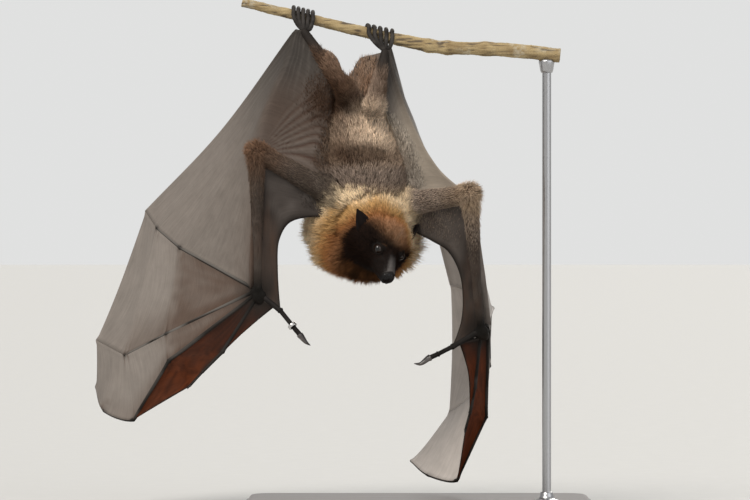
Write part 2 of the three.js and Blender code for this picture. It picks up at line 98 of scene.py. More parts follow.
def mix(a: Array, b: Array, share: Array) -> Array:
    """Between two colours or places, by a share for each point."""
    share = np.asarray(share, float)[..., None]
    return np.asarray(a, float) * (1.0 - share) + np.asarray(b, float) * share


def cloud(points: Array, size: float, seed: int = 0) -> Array:
    """Smooth noise from 0 to 1.

    Args:
        points: places, with a last axis of three.
        size: the width of one lump.
        seed: picks the pattern.

    Returns:
        One value for each place.
    """
    place = np.asarray(points, float) / size
    low = np.floor(place)
    part = place - low
    part = part * part * (3.0 - 2.0 * part)
    low = low.astype(np.int64)
    total = np.zeros(place.shape[:-1])
    for corner in itertools.product((0, 1), repeat=3):
        cell = low + np.array(corner)
        mark = cell[..., 0] * 73856093 ^ cell[..., 1] * 19349663 ^ cell[..., 2] * 83492791
        mark = (mark ^ (seed * 7919 + 12345)) & 0xFFFFFF
        mark = ((mark * 1103515245 + 12345) >> 7) & 0xFFFF
        weight = np.where(np.array(corner), part, 1.0 - part).prod(-1)
        total += weight * mark / 65535.0
    return total


# ---------------------------------------------------------------- lines and surfaces
class Route:
    """A smooth curve through points. Point k of n lies at the fraction k / (n - 1)."""

    def __init__(self, points: Sequence) -> None:
        """Takes the points that the curve passes through."""
        self.points = np.asarray(points, float)

    def at(self, t: Array) -> Array:
        """Places on the curve.

        Args:
            t: fractions from 0 to 1, of any shape.

        Returns:
            Places, with a last axis of three.
        """
        p = self.points
        ends = np.vstack([2 * p[0] - p[1], p, 2 * p[-1] - p[-2]])
        place = np.clip(np.asarray(t, float), 0, 1) * (len(p) - 1)
        low = np.minimum(place.astype(int), len(p) - 2)
        w = (place - low)[..., None]
        a, b, c, d = (ends[low + k] for k in range(4))
        first, middle, last = (
            np.maximum(np.linalg.norm(n - m, axis=-1, keepdims=True) ** 0.5, 1e-4)
            for m, n in ((a, b), (b, c), (c, d))
        )
        start = ((b - a) / first - (c - a) / (first + middle) + (c - b) / middle) * middle
        finish = ((c - b) / middle - (d - b) / (middle + last) + (d - c) / last) * middle
        cubic = 2 * b - 2 * c + start + finish
        square = -3 * b + 3 * c - 2 * start - finish
        return b + start * w + square * w**2 + cubic * w**3


class Bones:
    """A line of straight bones that bends near its joints.

    Bones past the straight ones curve freely.
    """

    def __init__(self, joints: Sequence, straight: int | None = None) -> None:
        """Takes the joints, and how many of the bones are straight.

        Args:
            joints: the places of the joints.
            straight: how many bones are straight, or None for all.
        """
        joints = np.asarray(joints, float)
        straight = len(joints) - 1 if straight is None else straight
        points: list[Array] = []
        marks: list[int] = []
        for k, joint in enumerate(joints):
            marks.append(len(points))
            points.append(joint)
            if k < straight:
                points += [joint + (joints[k + 1] - joint) * e for e in (EASE, 1 - EASE)]
        self.route = Route(points)
        self.marks = np.array(marks) / (len(points) - 1)

    def at(self, w: Array) -> Array:
        """Places where joint k of n lies at the fraction k / (n - 1)."""
        even = np.linspace(0, 1, len(self.marks))
        return self.route.at(np.interp(w, even, self.marks))


def between(a: Sequence[float], b: Sequence[float], t: float) -> Array:
    """The place at fraction t of the way from a to b."""
    return np.asarray(a, float) + (np.asarray(b, float) - np.asarray(a, float)) * t


def patch(bottom: Curve, top: Curve, left: Curve, right: Curve) -> Surface:
    """A smooth patch inside four edges that meet at their ends.

    Args:
        bottom: the edge at v 0.
        top: the edge at v 1.
        left: the edge at u 0.
        right: the edge at u 1.

    Returns:
        The patch as a function of u and v.
    """

    def surface(u: Array, v: Array) -> Array:
        """Places of the patch.

        Args:
            u: fractions along it.
            v: fractions across it.

        Returns:
            Places, with a last axis of three.
        """
        b, t, l, r = bottom(u), top(u), left(v), right(v)
        rows = b * (1 - v)[..., None] + t * v[..., None]
        columns = l * (1 - u)[..., None] + r * u[..., None]
        ends = [edge(np.array([0.0, 1.0])) for edge in (bottom, top)]
        low = mix(ends[0][0], ends[0][1], u)
        high = mix(ends[1][0], ends[1][1], u)
        return rows + columns - (low * (1 - v)[..., None] + high * v[..., None])

    return surface


def ruled(near: Curve, far: Curve, hollow: float = 0.0) -> Surface:
    """A sheet of straight lines between two curves, its free end drawn in by the hollow.

    Args:
        near: the curve at v 0.
        far: the curve at v 1.
        hollow: how far the middle of the free end draws in, as a share.

    Returns:
        The sheet as a function of u and v.
    """

    def surface(u: Array, v: Array) -> Array:
        """Places of the sheet.

        Args:
            u: fractions along it.
            v: fractions across it.

        Returns:
            Places, with a last axis of three.
        """
        reach = u * (1 - hollow * 4 * v * (1 - v))
        return near(reach) * (1 - v)[..., None] + far(reach) * v[..., None]

    return surface


def frames(line: Array) -> tuple[Array, Array, Array]:
    """Axes carried along a line without twist.

    Args:
        line: the places along it.

    Returns:
        The tangents, and the two sets of unit vectors across them.
    """
    tangent = unit(np.gradient(line, axis=0))
    wide = np.empty_like(tangent)
    guess = np.eye(3)[np.argmin(np.abs(tangent[0]))]
    wide[0] = unit(guess - tangent[0] * guess.dot(tangent[0]))
    for k in range(1, len(line)):
        wide[k] = unit(wide[k - 1] - tangent[k] * wide[k - 1].dot(tangent[k]))
    return tangent, wide, np.cross(tangent, wide)


# ---------------------------------------------------------------- closed bodies
@dataclass
class Body:
    """Points and faces in millimetres, with named values at the points."""

    points: Array
    quads: Array
    tris: Array
    tone: Array | None = None
    grain: Array | None = None

    def outward(self) -> "Body":
        """The body with its faces turned outwards.

        Returns:
            The same body.
        """
        corners = np.vstack([self.quads[:, [0, 1, 2]], self.quads[:, [0, 2, 3]], self.tris])
        a, b, c = (self.points[corners[:, k]] for k in range(3))
        if np.einsum("ij,ij->i", a, np.cross(b, c)).sum() < 0:
            self.quads, self.tris = self.quads[:, ::-1], self.tris[:, ::-1]
        return self

    def painted(self, tone: Array) -> "Body":
        """The body in a colour, or in one colour for each point."""
        self.tone = np.broadcast_to(np.asarray(tone, float), self.points.shape).copy()
        return self


def joined(bodies: Sequence[Body]) -> Body:
    """Several bodies as one list of points and faces.

    Args:
        bodies: the bodies.

    Returns:
        One body, with tones and grains filled in where one had none.
    """
    starts = np.cumsum([0] + [len(b.points) for b in bodies[:-1]])
    tones = [b.tone if b.tone is not None else np.full_like(b.points, 0.05) for b in bodies]
    grains = [b.grain if b.grain is not None else np.zeros((len(b.points), 2)) for b in bodies]
    return Body(
        np.vstack([b.points for b in bodies]),
        np.vstack([b.quads + s for b, s in zip(bodies, starts)]).astype(int),
        np.vstack([b.tris.reshape(-1, 3) + s for b, s in zip(bodies, starts)]).astype(int),
        np.vstack(tones),
        np.vstack(grains),
    )


def loft(hoops: Array, first: Array, last: Array) -> Body:
    """A closed body through hoops, each end closed by a fan to a point.

    Args:
        hoops: rows of points, all of the same length.
        first: the point that closes the first hoop.
        last: the point that closes the last hoop.

    Returns:
        The body, faces outwards.
    """
    rows, sides, _ = hoops.shape
    points = np.vstack([hoops.reshape(-1, 3), first, last])
    i, j = np.meshgrid(np.arange(rows - 1), np.arange(sides), indexing="ij")
    a, b = i * sides + j, i * sides + (j + 1) % sides
    quads = np.stack([a, b, b + sides, a + sides], -1).reshape(-1, 4)
    j = np.arange(sides)
    after = (j + 1) % sides
    start, end = rows * sides, (rows - 1) * sides
    tris = np.vstack([
        np.stack([np.full(sides, start), after, j], -1),
        np.stack([np.full(sides, start + 1), end + j, end + after], -1),
    ])
    return Body(points, quads, tris).outward()


def torus(hoops: Array) -> Body:
    """A closed body through hoops whose last one joins the first.

    Args:
        hoops: rows of points, all of the same length.

    Returns:
        The body, faces outwards.
    """
    rows, sides, _ = hoops.shape
    i, j = np.meshgrid(np.arange(rows), np.arange(sides), indexing="ij")
    a, b = i * sides + j, i * sides + (j + 1) % sides
    c, d = (i + 1) % rows * sides + (j + 1) % sides, (i + 1) % rows * sides + j
    quads = np.stack([a, b, c, d], -1).reshape(-1, 4)
    return Body(hoops.reshape(-1, 3), quads, NO_TRIS).outward()


def grid_starts(rows: int, columns: int) -> Array:
    """The first corner of each face of a grid."""
    i, j = np.meshgrid(np.arange(rows - 1), np.arange(columns - 1), indexing="ij")
    return (i * columns + j).ravel()


def hoops_along(line: Array, wide: Array, high: Array, sides: int) -> Array:
    """Elliptical hoops.

    Args:
        line: the middle of each hoop.
        wide: one half axis of each hoop, as a vector.
        high: the other half axis.
        sides: points round a hoop.

    Returns:
        An array of hoops by sides by three.
    """
    turn = np.arange(sides) * 2 * math.pi / sides
    across = (wide[:, None] * np.cos(turn)[None, :, None]
              + high[:, None] * np.sin(turn)[None, :, None])
    return line[:, None] + across


def tube(curve: Curve, radius: Curve, sides: int, spans: int) -> Body:
    """A closed round limb with domed ends.

    Args:
        curve: places for fractions of the limb.
        radius: radii for the same fractions.
        sides: points round it.
        spans: steps along it.

    Returns:
        The body.
    """
    t = np.linspace(0, 1, spans + 1)
    line, size = curve(t), radius(t)
    tangent, wide, high = frames(line)
    angles = np.radians(DOME)
    start = [(line[0] - tangent[0] * size[0] * math.sin(a), 0, size[0] * math.cos(a))
             for a in angles]
    end = [(line[-1] + tangent[-1] * size[-1] * math.sin(a), -1, size[-1] * math.cos(a))
           for a in angles[::-1]]
    middles = [m for m, _, _ in start] + list(line) + [m for m, _, _ in end]
    which = [k for _, k, _ in start] + list(range(len(line))) + [k for _, k, _ in end]
    sizes = np.array([s for _, _, s in start] + list(size) + [s for _, _, s in end])[:, None]
    hoops = hoops_along(np.array(middles), wide[which] * sizes, high[which] * sizes, sides)
    return loft(hoops, line[0] - tangent[0] * size[0], line[-1] + tangent[-1] * size[-1])


def nearest_on(line: Array, points: Array) -> Array:
    """The place of a line that each point lies nearest to."""
    return line[np.linalg.norm(points[:, None] - line[None], axis=-1).argmin(1)]


def table_of(values: Sequence[float], places: Sequence[float] | None = None) -> Curve:
    """A function of a fraction that runs straight between the values."""
    spots = np.linspace(0, 1, len(values)) if places is None else places
    return lambda t: np.interp(t, spots, values)


def make_object(name: str, body: Body, smooth: bool = True) -> bpy.types.Object:
    """A Blender object of a body.

    Args:
        name: the object's name.
        body: the points and faces; its tone and grain become mesh attributes.
        smooth: whether the faces are shaded smooth.

    Returns:
        The object, at the origin.
    """
    mesh = bpy.data.meshes.new(name)
    quads, tris = np.asarray(body.quads, int), np.asarray(body.tris, int).reshape(-1, 3)
    corners = np.concatenate([quads.ravel(), tris.ravel()])
    starts = np.concatenate([np.arange(len(quads)) * 4, quads.size + np.arange(len(tris)) * 3])
    mesh.vertices.add(len(body.points))
    mesh.vertices.foreach_set("co", (body.points * MM).astype(np.float32).ravel())
    mesh.loops.add(len(corners))
    mesh.loops.foreach_set("vertex_index", corners.astype(np.int32))
    mesh.polygons.add(len(starts))
    mesh.polygons.foreach_set("loop_start", starts.astype(np.int32))
    mesh.polygons.foreach_set("use_smooth", np.full(len(starts), smooth))
    mesh.update(calc_edges=True)
    if body.tone is not None:
        colours = np.hstack([np.clip(body.tone, 0, 1), np.ones((len(body.points), 1))])
        paint = mesh.attributes.new("tone", "FLOAT_COLOR", "POINT")
        paint.data.foreach_set("color", colours.astype(np.float32).ravel())
    if body.grain is not None:
        layer = mesh.uv_layers.new(name="Grain")
        layer.uv.foreach_set("vector", body.grain[corners].astype(np.float32).ravel())
    return linked(name, mesh)


def linked(name: str, data: bpy.types.ID) -> bpy.types.Object:
    """A new object of some data, in the scene.

    Args:
        name: the object's name.
        data: its mesh, camera or lamp.

    Returns:
        The object.
    """
    thing = bpy.data.objects.new(name, data)
    bpy.context.scene.collection.objects.link(thing)
    return thing


def finished(name: str, body: Body, finish: bpy.types.Material, slot: str,
             *nodes: str) -> bpy.types.Object:
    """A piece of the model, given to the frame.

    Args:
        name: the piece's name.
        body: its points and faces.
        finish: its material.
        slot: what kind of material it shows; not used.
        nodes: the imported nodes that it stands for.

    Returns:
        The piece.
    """
    piece = make_object(name, body)
    piece.data.materials.append(finish)
    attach(piece, "root")
    if nodes:
        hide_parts(*nodes)
    return piece


def body_of_mesh(mesh: bpy.types.Mesh) -> Body:
    """The points and faces of a mesh of quads and triangles.

    Args:
        mesh: the mesh.

    Returns:
        Its points and faces, in millimetres.
    """
    points = np.empty(len(mesh.vertices) * 3, np.float32)
    mesh.vertices.foreach_get("co", points)
    corners = np.empty(len(mesh.loops), np.int32)
    mesh.loops.foreach_get("vertex_index", corners)
    starts = np.empty(len(mesh.polygons), np.int32)
    mesh.polygons.foreach_get("loop_start", starts)
    counts = np.diff(np.append(starts, len(corners)))
    quads = corners[starts[counts == 4][:, None] + np.arange(4)]
    tris = corners[starts[counts == 3][:, None] + np.arange(3)]
    return Body(points.reshape(-1, 3).astype(float) / MM, quads, tris)


def settled(thing: bpy.types.Object) -> bpy.types.Mesh:
    """The object's mesh with its modifiers worked in.

    Args:
        thing: the object, left as it was.

    Returns:
        A new mesh.
    """
    graph = bpy.context.evaluated_depsgraph_get()
    graph.update()
    return bpy.data.meshes.new_from_object(thing.evaluated_get(graph), depsgraph=graph)


def fused(bodies: Sequence[Body], grain: float, rounds: int) -> Body:
    """Overlapping bodies grown into one smooth skin.

    Args:
        bodies: closed bodies.
        grain: the width of one face.
        rounds: how many times the skin is smoothed.

    Returns:
        One closed body.
    """
    lump = make_object("lump", joined(bodies))
    remesh = lump.modifiers.new("remesh", "REMESH")
    remesh.mode = "VOXEL"
    remesh.voxel_size = grain * MM
    smooth = lump.modifiers.new("smooth", "SMOOTH")
    smooth.factor = 0.5
    smooth.iterations = rounds
    mesh = settled(lump)
    skin = body_of_mesh(mesh)
    bpy.data.objects.remove(lump)
    bpy.data.meshes.remove(mesh)
    return skin


# ---------------------------------------------------------------- the animal's measures
class Hand(Enum):
    """The two sides of the animal."""

    RIGHT = "right"
    LEFT = "left"


@dataclass(frozen=True)
class Side:
    """The joints of one side, and the points that the free edges of its wing pass."""

    hand: Hand
    shoulder: tuple
    elbow: tuple
    wrist: tuple
    thumb: tuple
    thumb_claw: tuple
    finger2: tuple
    finger3: tuple
    finger4: tuple
    finger5: tuple
    armpit: tuple
    flank: tuple
    groin: tuple
    hip: tuple
    knee: tuple
    ankle: tuple
    heel: tuple
    trailing: tuple
    fold: tuple
    fore_edge: tuple
    thumb_edge: tuple
    crotch: tuple
    tail_edge: tuple
    toe_middle: float
    toe_spread: float
    toe_lean: float
    bulge: float  # how far the outer sheet swells out beside the forearm

    def named(self, part: str) -> str:
        """The part's node name on this side."""
        return f"{part}_{self.hand.value}"


RIGHT = Side(
    hand=Hand.RIGHT,
    shoulder=(-70, -10, 284), elbow=(-147, -32, 328), wrist=(-145, -16, 200),
    thumb=((-142, -17, 198), (-125.5, -26, 184.5), (-114.5, -32, 171), (-107, -34, 162)),
    thumb_claw=((-106.4, -34.2, 161.3), (-102.5, -35.5, 156.5), (-98.5, -33, 153.5)),
    finger2=((-146, -15, 197), (-178, -12, 147), (-196, -8, 129), (-208, -6, 116)),
    finger3=((-149, -12, 198), (-227, 2, 138.5), (-261, 32, 84), (-290, 62, 91), (-299, 90, 112)),
    finger4=((-150, -11, 201), (-230, 22, 162.5), (-270, 56, 142), (-299, 96, 155)),
    finger5=((-149, -11, 204), (-219, 46, 241), (-242, 78, 259), (-254, 112, 275)),
    armpit=(-74, -14, 292), flank=(-76, -16, 330), groin=(-80, -20, 360),
    hip=(-60, -8, 362), knee=(-66, -38, 381), ankle=(-104, -28, 435), heel=(-111, -29, 437),
    trailing=(-180, 40, 348), fold=((-139, -34, 365), (-124, -34, 400)),
    fore_edge=((-84, -8, 268.5), (-101, -14, 268.5), (-118, -21, 263), (-126.5, -22, 248),
               (-128, -19, 222)),
    thumb_edge=((-159, -17, 165),), crotch=(-65, -18, 386),
    tail_edge=((-70, -20, 399), (-74.5, -22, 411), (-81, -24, 417.5), (-94, -27, 421.5)),
    toe_middle=-105, toe_spread=4.3, toe_lean=0, bulge=0,
)
LEFT = Side(
    hand=Hand.LEFT,
    shoulder=(-15, -4, 281), elbow=(44, -66, 289), wrist=(54, -14, 168),
    thumb=((50, -16, 164), (29, -22, 152), (16, -27, 145.5), (8, -29, 142)),
    thumb_claw=((7.2, -29.2, 141.6), (0.5, -31.5, 137), (-5.5, -29, 137)),
    finger2=((54, -15, 160), (50, 10, 114), (46, 24, 91), (42, 33, 74.5)),
    finger3=((61, -12, 162), (61, 44, 86), (35, 76, 26), (9, 108, 29), (-7, 138, 40.5)),
    finger4=((62, -8, 166), (65, 76, 132), (53, 122, 103), (30, 162, 84)),
    finger5=((60, -7, 171), (68, 80, 185), (60, 118, 195), (31, 144, 207)),
    armpit=(-12, -10, 289), flank=(-18, -16, 330), groin=(-24, -20, 358),
    hip=(-48, -8, 358), knee=(-41, -40, 369), ankle=(-31.5, -28, 417), heel=(-27, -29, 420),
    trailing=(3, 56, 312), fold=((18, -50, 311), (-7, -34, 355), (-21, -30, 394)),
    fore_edge=((-2, -6, 254), (12, -17, 246.5), (25, -28, 238), (34.5, -31, 221),
               (38.5, -24, 197), (37, -20, 174)),
    thumb_edge=((43.5, -6, 130),), crotch=(-63, -18, 386),
    tail_edge=((-61, -20, 398), (-54, -22, 411), (-42, -26, 414.5)),
    toe_middle=-35.5, toe_spread=5.2, toe_lean=-0.8, bulge=4,
)

# Level stations out to the tips of the coat: height, middle in X and Y, half width, half depth.
TRUNK = (
    (394, -58, -14, 8, 8), (386, -57, -14, 20, 15), (374, -56, -12, 29, 20),
    (358, -54, -10, 34, 24.5), (342, -51.5, -8, 38.5, 27.5), (325, -48, -6.5, 41, 30),
    (310, -46, -5, 41.5, 31), (298, -45.5, -4, 40.5, 30), (288, -45, -4, 34, 26),
    (280, -45, -4, 24, 18),
)
MANE = (
    (301, -50, -4, 30, 25), (296, -50, -4, 38, 30), (289, -49, -3, 41, 32.5),
    (281, -48, -1, 43, 33), (273, -49, 3, 47, 33), (264, -53, 8, 54, 32.5),
    (252, -53, 11, 54.5, 31), (242, -50.5, 12, 53.5, 29.5), (234, -50.5, 12, 50.5, 28),
    (227, -50, 12, 46.5, 26), (220, -47.5, 11, 41, 23), (213, -45, 10, 33.5, 19),
    (207, -47, 9, 22, 13), (204, -48, 8, 10, 7),
)

HEAD_MIDDLE = np.array([-31.5, -28.0, 237.2])
MUZZLE = unit(np.array([0.177, -0.671, -0.72]))
LEFTWARD = unit(np.cross(np.array([0.545, -0.543, 0.64]), MUZZLE))
CROWN = np.cross(MUZZLE, LEFTWARD)

# The bare head: place along the muzzle, half width, half height, rise of the middle.
SKULL = (
    (-32, 19, 16, 1), (-24, 24.5, 21, 0), (-14, 26, 23, -1), (-5, 22.6, 21.2, -2),
    (2, 18.6, 17.4, -3), (9, 13.9, 14.0, -4), (16, 10.7, 11.0, -4.8), (22, 8.7, 8.9, -5.2),
    (27, 6.9, 6.9, -5.5), (29.6, 5.3, 5.4, -5.5), (30.8, 3.0, 3.2, -5.4),
)
EYE = {"along": 4.0, "out": 10.9, "up": 5.0, "radius": 5.0}
EYE_GAZE = unit(np.array([0.60, 0.74, 0.30]))


def in_head(forward: Array, out: Array, up: Array) -> Array:
    """A place given along the muzzle, out to the left ear, and up to the crown."""
    parts = [np.asarray(x, float)[..., None] for x in (forward, out, up)]
    return HEAD_MIDDLE + parts[0] * MUZZLE + parts[1] * LEFTWARD + parts[2] * CROWN


def eye_middle(sign: int) -> Array:
    """The middle of the left eye for 1, or of the right for -1."""
    return in_head(EYE["along"], sign * EYE["out"], EYE["up"])


def eye_gaze(sign: int) -> Array:
    """The way that the left eye looks for 1, or the right for -1."""
    return MUZZLE * EYE_GAZE[0] + LEFTWARD * EYE_GAZE[1] * sign + CROWN * EYE_GAZE[2]


def of_head(points: Array) -> tuple[Array, Array, Array]:
    """The places along the muzzle, out and up, of points in the model's frame."""
    rest = points - HEAD_MIDDLE
    return rest @ MUZZLE, rest @ LEFTWARD, rest @ CROWN


# ---------------------------------------------------------------- colours of skin and coat
@dataclass(frozen=True)
class Markings:
    """The colours of the animal, as light that a surface gives back."""

    web: tuple = (0.163, 0.140, 0.123)
    web_light: tuple = (0.215, 0.190, 0.170)
    # web_pale: the pale underside, partly its own tone and partly painted light shining through the
    # thin skin
    web_pale: tuple = (0.50, 0.46, 0.43)
    web_dark: tuple = (0.014, 0.011, 0.009)
    web_brown: tuple = (0.070, 0.041, 0.028)
    web_red: tuple = (0.050, 0.019, 0.011)
    # web_rust_glow: reddish brown, partly painted light shining through the thin skin
    web_rust_glow: tuple = (0.062, 0.014, 0.003)
    bone: tuple = (0.018, 0.015, 0.013)
    black: tuple = (0.006, 0.005, 0.004)
    face: tuple = (0.008, 0.0035, 0.002)
    forehead: tuple = (0.270, 0.128, 0.060)
    cheek: tuple = (0.31, 0.130, 0.045)
    gold: tuple = (0.44, 0.265, 0.108)
    cream: tuple = (0.80, 0.63, 0.42)
    back: tuple = (0.30, 0.210, 0.150)
    back_light: tuple = (0.74, 0.575, 0.425)
    back_dark: tuple = (0.050, 0.026, 0.015)
    grizzle: tuple = (0.30, 0.235, 0.195)
    rufous: tuple = (0.21, 0.105, 0.055)

    def trunk(self, p: Array) -> Array:
        """The coat of back, belly and legs at places on it.

        Args:
            p: places in the model's frame.

        Returns:
            One colour for each place.
        """
        x, y, z = p[..., 0], p[..., 1], p[..., 2]
        tone = mix(self.back, self.back_light, cloud(p, 7, 1) * 0.4)
        tone = mix(tone, self.back_dark, ramp(-x, 46, 76) * 0.5)
        dorsal = ramp(-y, -6, 14)
        middle = blob(p, (-36, -36, 346), (22, 60, 32)) * (0.75 + 0.5 * cloud(p, 6, 8))
        tone = mix(tone, self.back_light, np.clip(middle * 1.1, 0, 1) * dorsal)
        band = blob(p, (-52, -36, 319), (34, 60, 10)) * (0.8 + 0.5 * cloud(p, 7, 2))
        tone = mix(tone, self.back_dark, np.clip(band * 1.2, 0, 0.85) * dorsal)
        shoulder = ramp(-np.abs(z - 301), -13, -4) * 0.8
        tone = mix(tone, self.grizzle * np.array(0.68), shoulder * dorsal)
        legs = ramp(z, 362, 380)
        tone = mix(tone, mix(self.rufous, self.grizzle, 0.25 + ramp(x, -62, -48) * 0.4) * 0.74,
                   legs * 0.75)
        patches = legs * ramp(cloud(p, 9, 9), 0.5, 0.75)
        tone = mix(tone, self.back_dark, patches * 0.6)
        # dark patches by the hips: dark fur, with painted shade in the hollows beside the thighs
        hip_dark_fur_and_shade = (1.7 * blob(p, (-82, -28, 374), (17, 60, 19))
                + 0.8 * blob(p, (-30, -36, 377), (11, 60, 7)))
        tone = mix(tone, self.back_dark, np.clip(hip_dark_fur_and_shade * (0.8 + 0.8 * cloud(p, 5, 10)), 0, 0.95))
        return mix(tone, self.rufous, (1 - dorsal) * 0.55)

    @staticmethod
    def past_face(p: Array) -> Array:
        """How far places lie from the middle of the dark face, seen from the front.

        Args:
            p: places in the model's frame.

        Returns:
            Distances in millimetres, less at the chin.
        """
        x, y, z = p[..., 0], p[..., 1], p[..., 2]
        reach = np.hypot(x + 40, (z - 232) * 1.04)
        chin = ramp(-z, -228, -212) * ramp(x, -78, -66) * ramp(-x, 18, 30) * ramp(-y, 0, 12)
        return reach - 12 * chin + 9 * ramp(x, -20, -6)

    def mane(self, p: Array) -> Array:
        """The long coat round the neck, from the face out to its rim.

        Args:
            p: places in the model's frame.

        Returns:
            One colour for each place.
        """
        x, y, z = p[..., 0], p[..., 1], p[..., 2]
        reach = self.past_face(p) + (cloud(p, 8, 3) - 0.5) * 7 + 2.0 * np.clip(y - 2, 0, 40)
        reach = reach + 16 * ramp(x, -38, -22) * ramp(y, -32, -16)
        tone = mix(self.face, self.forehead, ramp(reach, 23, 31) * 0.85)
        tone = mix(tone, self.cheek, ramp(reach, 29, 37))
        tone = mix(tone, self.gold, ramp(reach, 35, 45))
        tone = mix(tone, self.cheek, 0.35 * cloud(p, 5, 26) * ramp(-z, -270, -240))
        rim = (reach + 9 * ramp(z, 250, 280) + 12 * ramp(x, -22, -8)
               + 10 * ramp(-x, 66, 84) * ramp(-z, -268, -248))
        return mix(tone, self.cream, ramp(rim, 52, 66))

    def head(self, p: Array) -> Array:
        """The short coat of the face and crown.

        Args:
            p: places in the model's frame.

        Returns:
            One colour for each place.
        """
        along, out, up = of_head(p)
        crown = ramp(up - 0.45 * along + 0.35 * out, 8, 24)
        tone = mix(self.face, self.forehead, crown)
        pale = blob(np.stack([along, out, up], -1), (-8, 3, 19), (11, 12, 8)) * cloud(p, 3, 4)
        tone = mix(tone, (0.34, 0.22, 0.14), np.clip(pale * 0.9, 0, 0.7))
        outside = np.maximum(ramp(-along, -9, 3), ramp(p[..., 0], -14, -6))
        return mix(tone, self.mane(p), ramp(self.past_face(p), 31, 37) * outside)

    def arm(self, p: Array, side: Side) -> Array:
        """The short coat of an arm, and the mane's on its shoulder.

        Args:
            p: places in the model's frame.
            side: the side of the animal.

        Returns:
            One colour for each place.
        """
        left = side.hand is Hand.LEFT
        tone = mix((0.11, 0.083, 0.064), (0.20, 0.160, 0.130), cloud(p, 6, 5) * 0.8)
        down = ramp(p[..., 2], side.elbow[2] - 12, side.elbow[2] - 70)
        tone = tone * ((2.5 if left else 0.8) - (1.8 if left else 0.52) * down)[..., None]
        near = close_to(p, side.elbow, 26)
        outer = 0.55 + 0.45 * cloud(p, 5, 6)
        elbow = np.array((0.47, 0.33, 0.20) if left else self.rufous)
        tone = mix(tone, elbow, near * outer * 0.8)
        away = far_from(p, side.shoulder) + 5 * (cloud(p, 5, 19) - 0.5)
        near = 0 if left else 6
        return mix(tone, self.mane(p), ramp(-away, near - 25, near - 15))

    def leg(self, p: Array, side: Side) -> Array:
        """The coat of a leg, thinner towards the foot."""
        down = ramp(p[..., 2], side.knee[2], side.ankle[2])
        return mix(self.trunk(p), (0.045, 0.037, 0.032), ramp(down, 0.55, 1.0))


MARKS = Markings()


# ---------------------------------------------------------------- the wing skin
@dataclass
class Web:
    """One sheet of wing skin between bones.

    The borders are what the sheet meets at v 0, v 1, u 0 and u 1: a bone's radius, or 0 where
    the edge is free. Each border's flesh rises to its bone over a few millimetres.
    """

    surface: Surface
    cells: tuple[int, int]
    borders: tuple[float, float, float, float]
    paint: Callable[[Array, Array, Array, Array], tuple[Array, Array]]
    across: bool = False
    rounds: int = 0
    spread: tuple | None = None  # the fractions along u that even steps of the grid fall on
    behind: float = 1.0  # how light the side towards +Y is for the side towards -Y

    def __post_init__(self) -> None:
        """Lays the sheet out: its places, thickness, colours, normals and distances."""
        u, v = np.meshgrid(*(np.linspace(0, 1, n + 1) for n in self.cells), indexing="ij")
        if self.spread:
            u = np.interp(u, np.linspace(0, 1, len(self.spread)), self.spread)
        places = self.surface(u, v)
        for _ in range(self.rounds):
            calm = (places[2:, 1:-1] + places[:-2, 1:-1] + places[1:-1, 2:] + places[1:-1, :-2]) / 4
            places[1:-1, 1:-1] = calm
        steps = [np.linalg.norm(np.diff(places, axis=k), axis=-1) for k in (0, 1)]
        run_u = np.vstack([np.zeros((1, u.shape[1])), np.cumsum(steps[0], 0)])
        run_v = np.hstack([np.zeros((u.shape[0], 1)), np.cumsum(steps[1], 1)])
        reach = [run_v, run_v[:, -1:] - run_v, run_u, run_u[-1:] - run_u]
        half = np.full(u.shape, HALF_WEB)
        edge = np.full(u.shape, 1e9)
        for distance, radius in zip(reach, self.borders):
            edge = np.minimum(edge, distance)
            if radius > 0:
                flare = (0.85 * radius - HALF_WEB) * hump(distance, radius + 0.9)
                half = np.maximum(half, HALF_WEB + flare)
            else:
                half = half + 0.16 * hump(distance, 0.9)
        tone, lift = self.paint(places, u, v, edge)
        normal = grid_normals(places)
        if normal[..., 1].sum() > 0:
            normal = -normal
        places = places + normal * (lift * ramp(edge, 1.0, 9.0))[..., None]
        facing = grid_normals(places)
        self.normal = facing if (facing * normal).sum() > 0 else -facing
        self.places, self.half, self.tone, self.reach = places, half, tone, reach
        mean_u, mean_v = (run_u.mean(1)[:, None] * np.ones_like(v), run_v.mean(0)[None]
                          * np.ones_like(u))
        self.grain = np.stack([mean_u, mean_v] if self.across else [mean_v, mean_u], -1) * MM

    def face(self, sign: int) -> Array:
        """The places of the side towards -Y for 1, or towards +Y for -1."""
        return self.places + self.normal * (self.half * sign)[..., None]

    def body(self) -> Body:
        """The closed sheet, painted, with its grain laid along its striations.

        Returns:
            The sheet as a body.
        """
        body = closed_sheet(self.face(1), self.face(-1))
        tone = self.tone.reshape(-1, 3)
        body.tone = np.vstack([tone, tone * self.behind])
        body.grain = np.tile(self.grain.reshape(-1, 2), (2, 1))
        return body


def grid_normals(places: Array) -> Array:
    """The unit normals of a grid of places."""
    return unit(np.cross(np.gradient(places, axis=0), np.gradient(places, axis=1)))


def laid_flat(ways: Array, normal: Array) -> Array:
    """Directions turned into the surface that has these normals."""
    return unit(ways - normal * (ways * normal).sum(-1, keepdims=True))


def closed_sheet(front: Array, back: Array) -> Body:
    """A closed sheet between two grids of places."""
    points = np.vstack([front.reshape(-1, 3), back.reshape(-1, 3)])
    return Body(points, sheet_faces(*front.shape[:2]), NO_TRIS).outward()


def sheet_faces(rows: int, columns: int) -> Array:
    """The faces of a closed sheet: a front grid, a back grid, and the rim between them.

    Args:
        rows: rows of the grid.
        columns: columns of the grid.

    Returns:
        Four corners for each face.
    """
    a = grid_starts(rows, columns)
    front = np.stack([a, a + columns, a + columns + 1, a + 1], -1)
    behind = rows * columns
    low, side = np.arange(rows) * columns, np.arange(columns)
    rim = np.concatenate([
        low[:-1], low[-1] + side[:-1], (low + columns - 1)[:0:-1], side[:0:-1],
    ])
    after = np.roll(rim, -1)
    edge = np.stack([rim, rim + behind, after + behind, after], -1)
    return np.vstack([front, front[:, ::-1] + behind, edge])


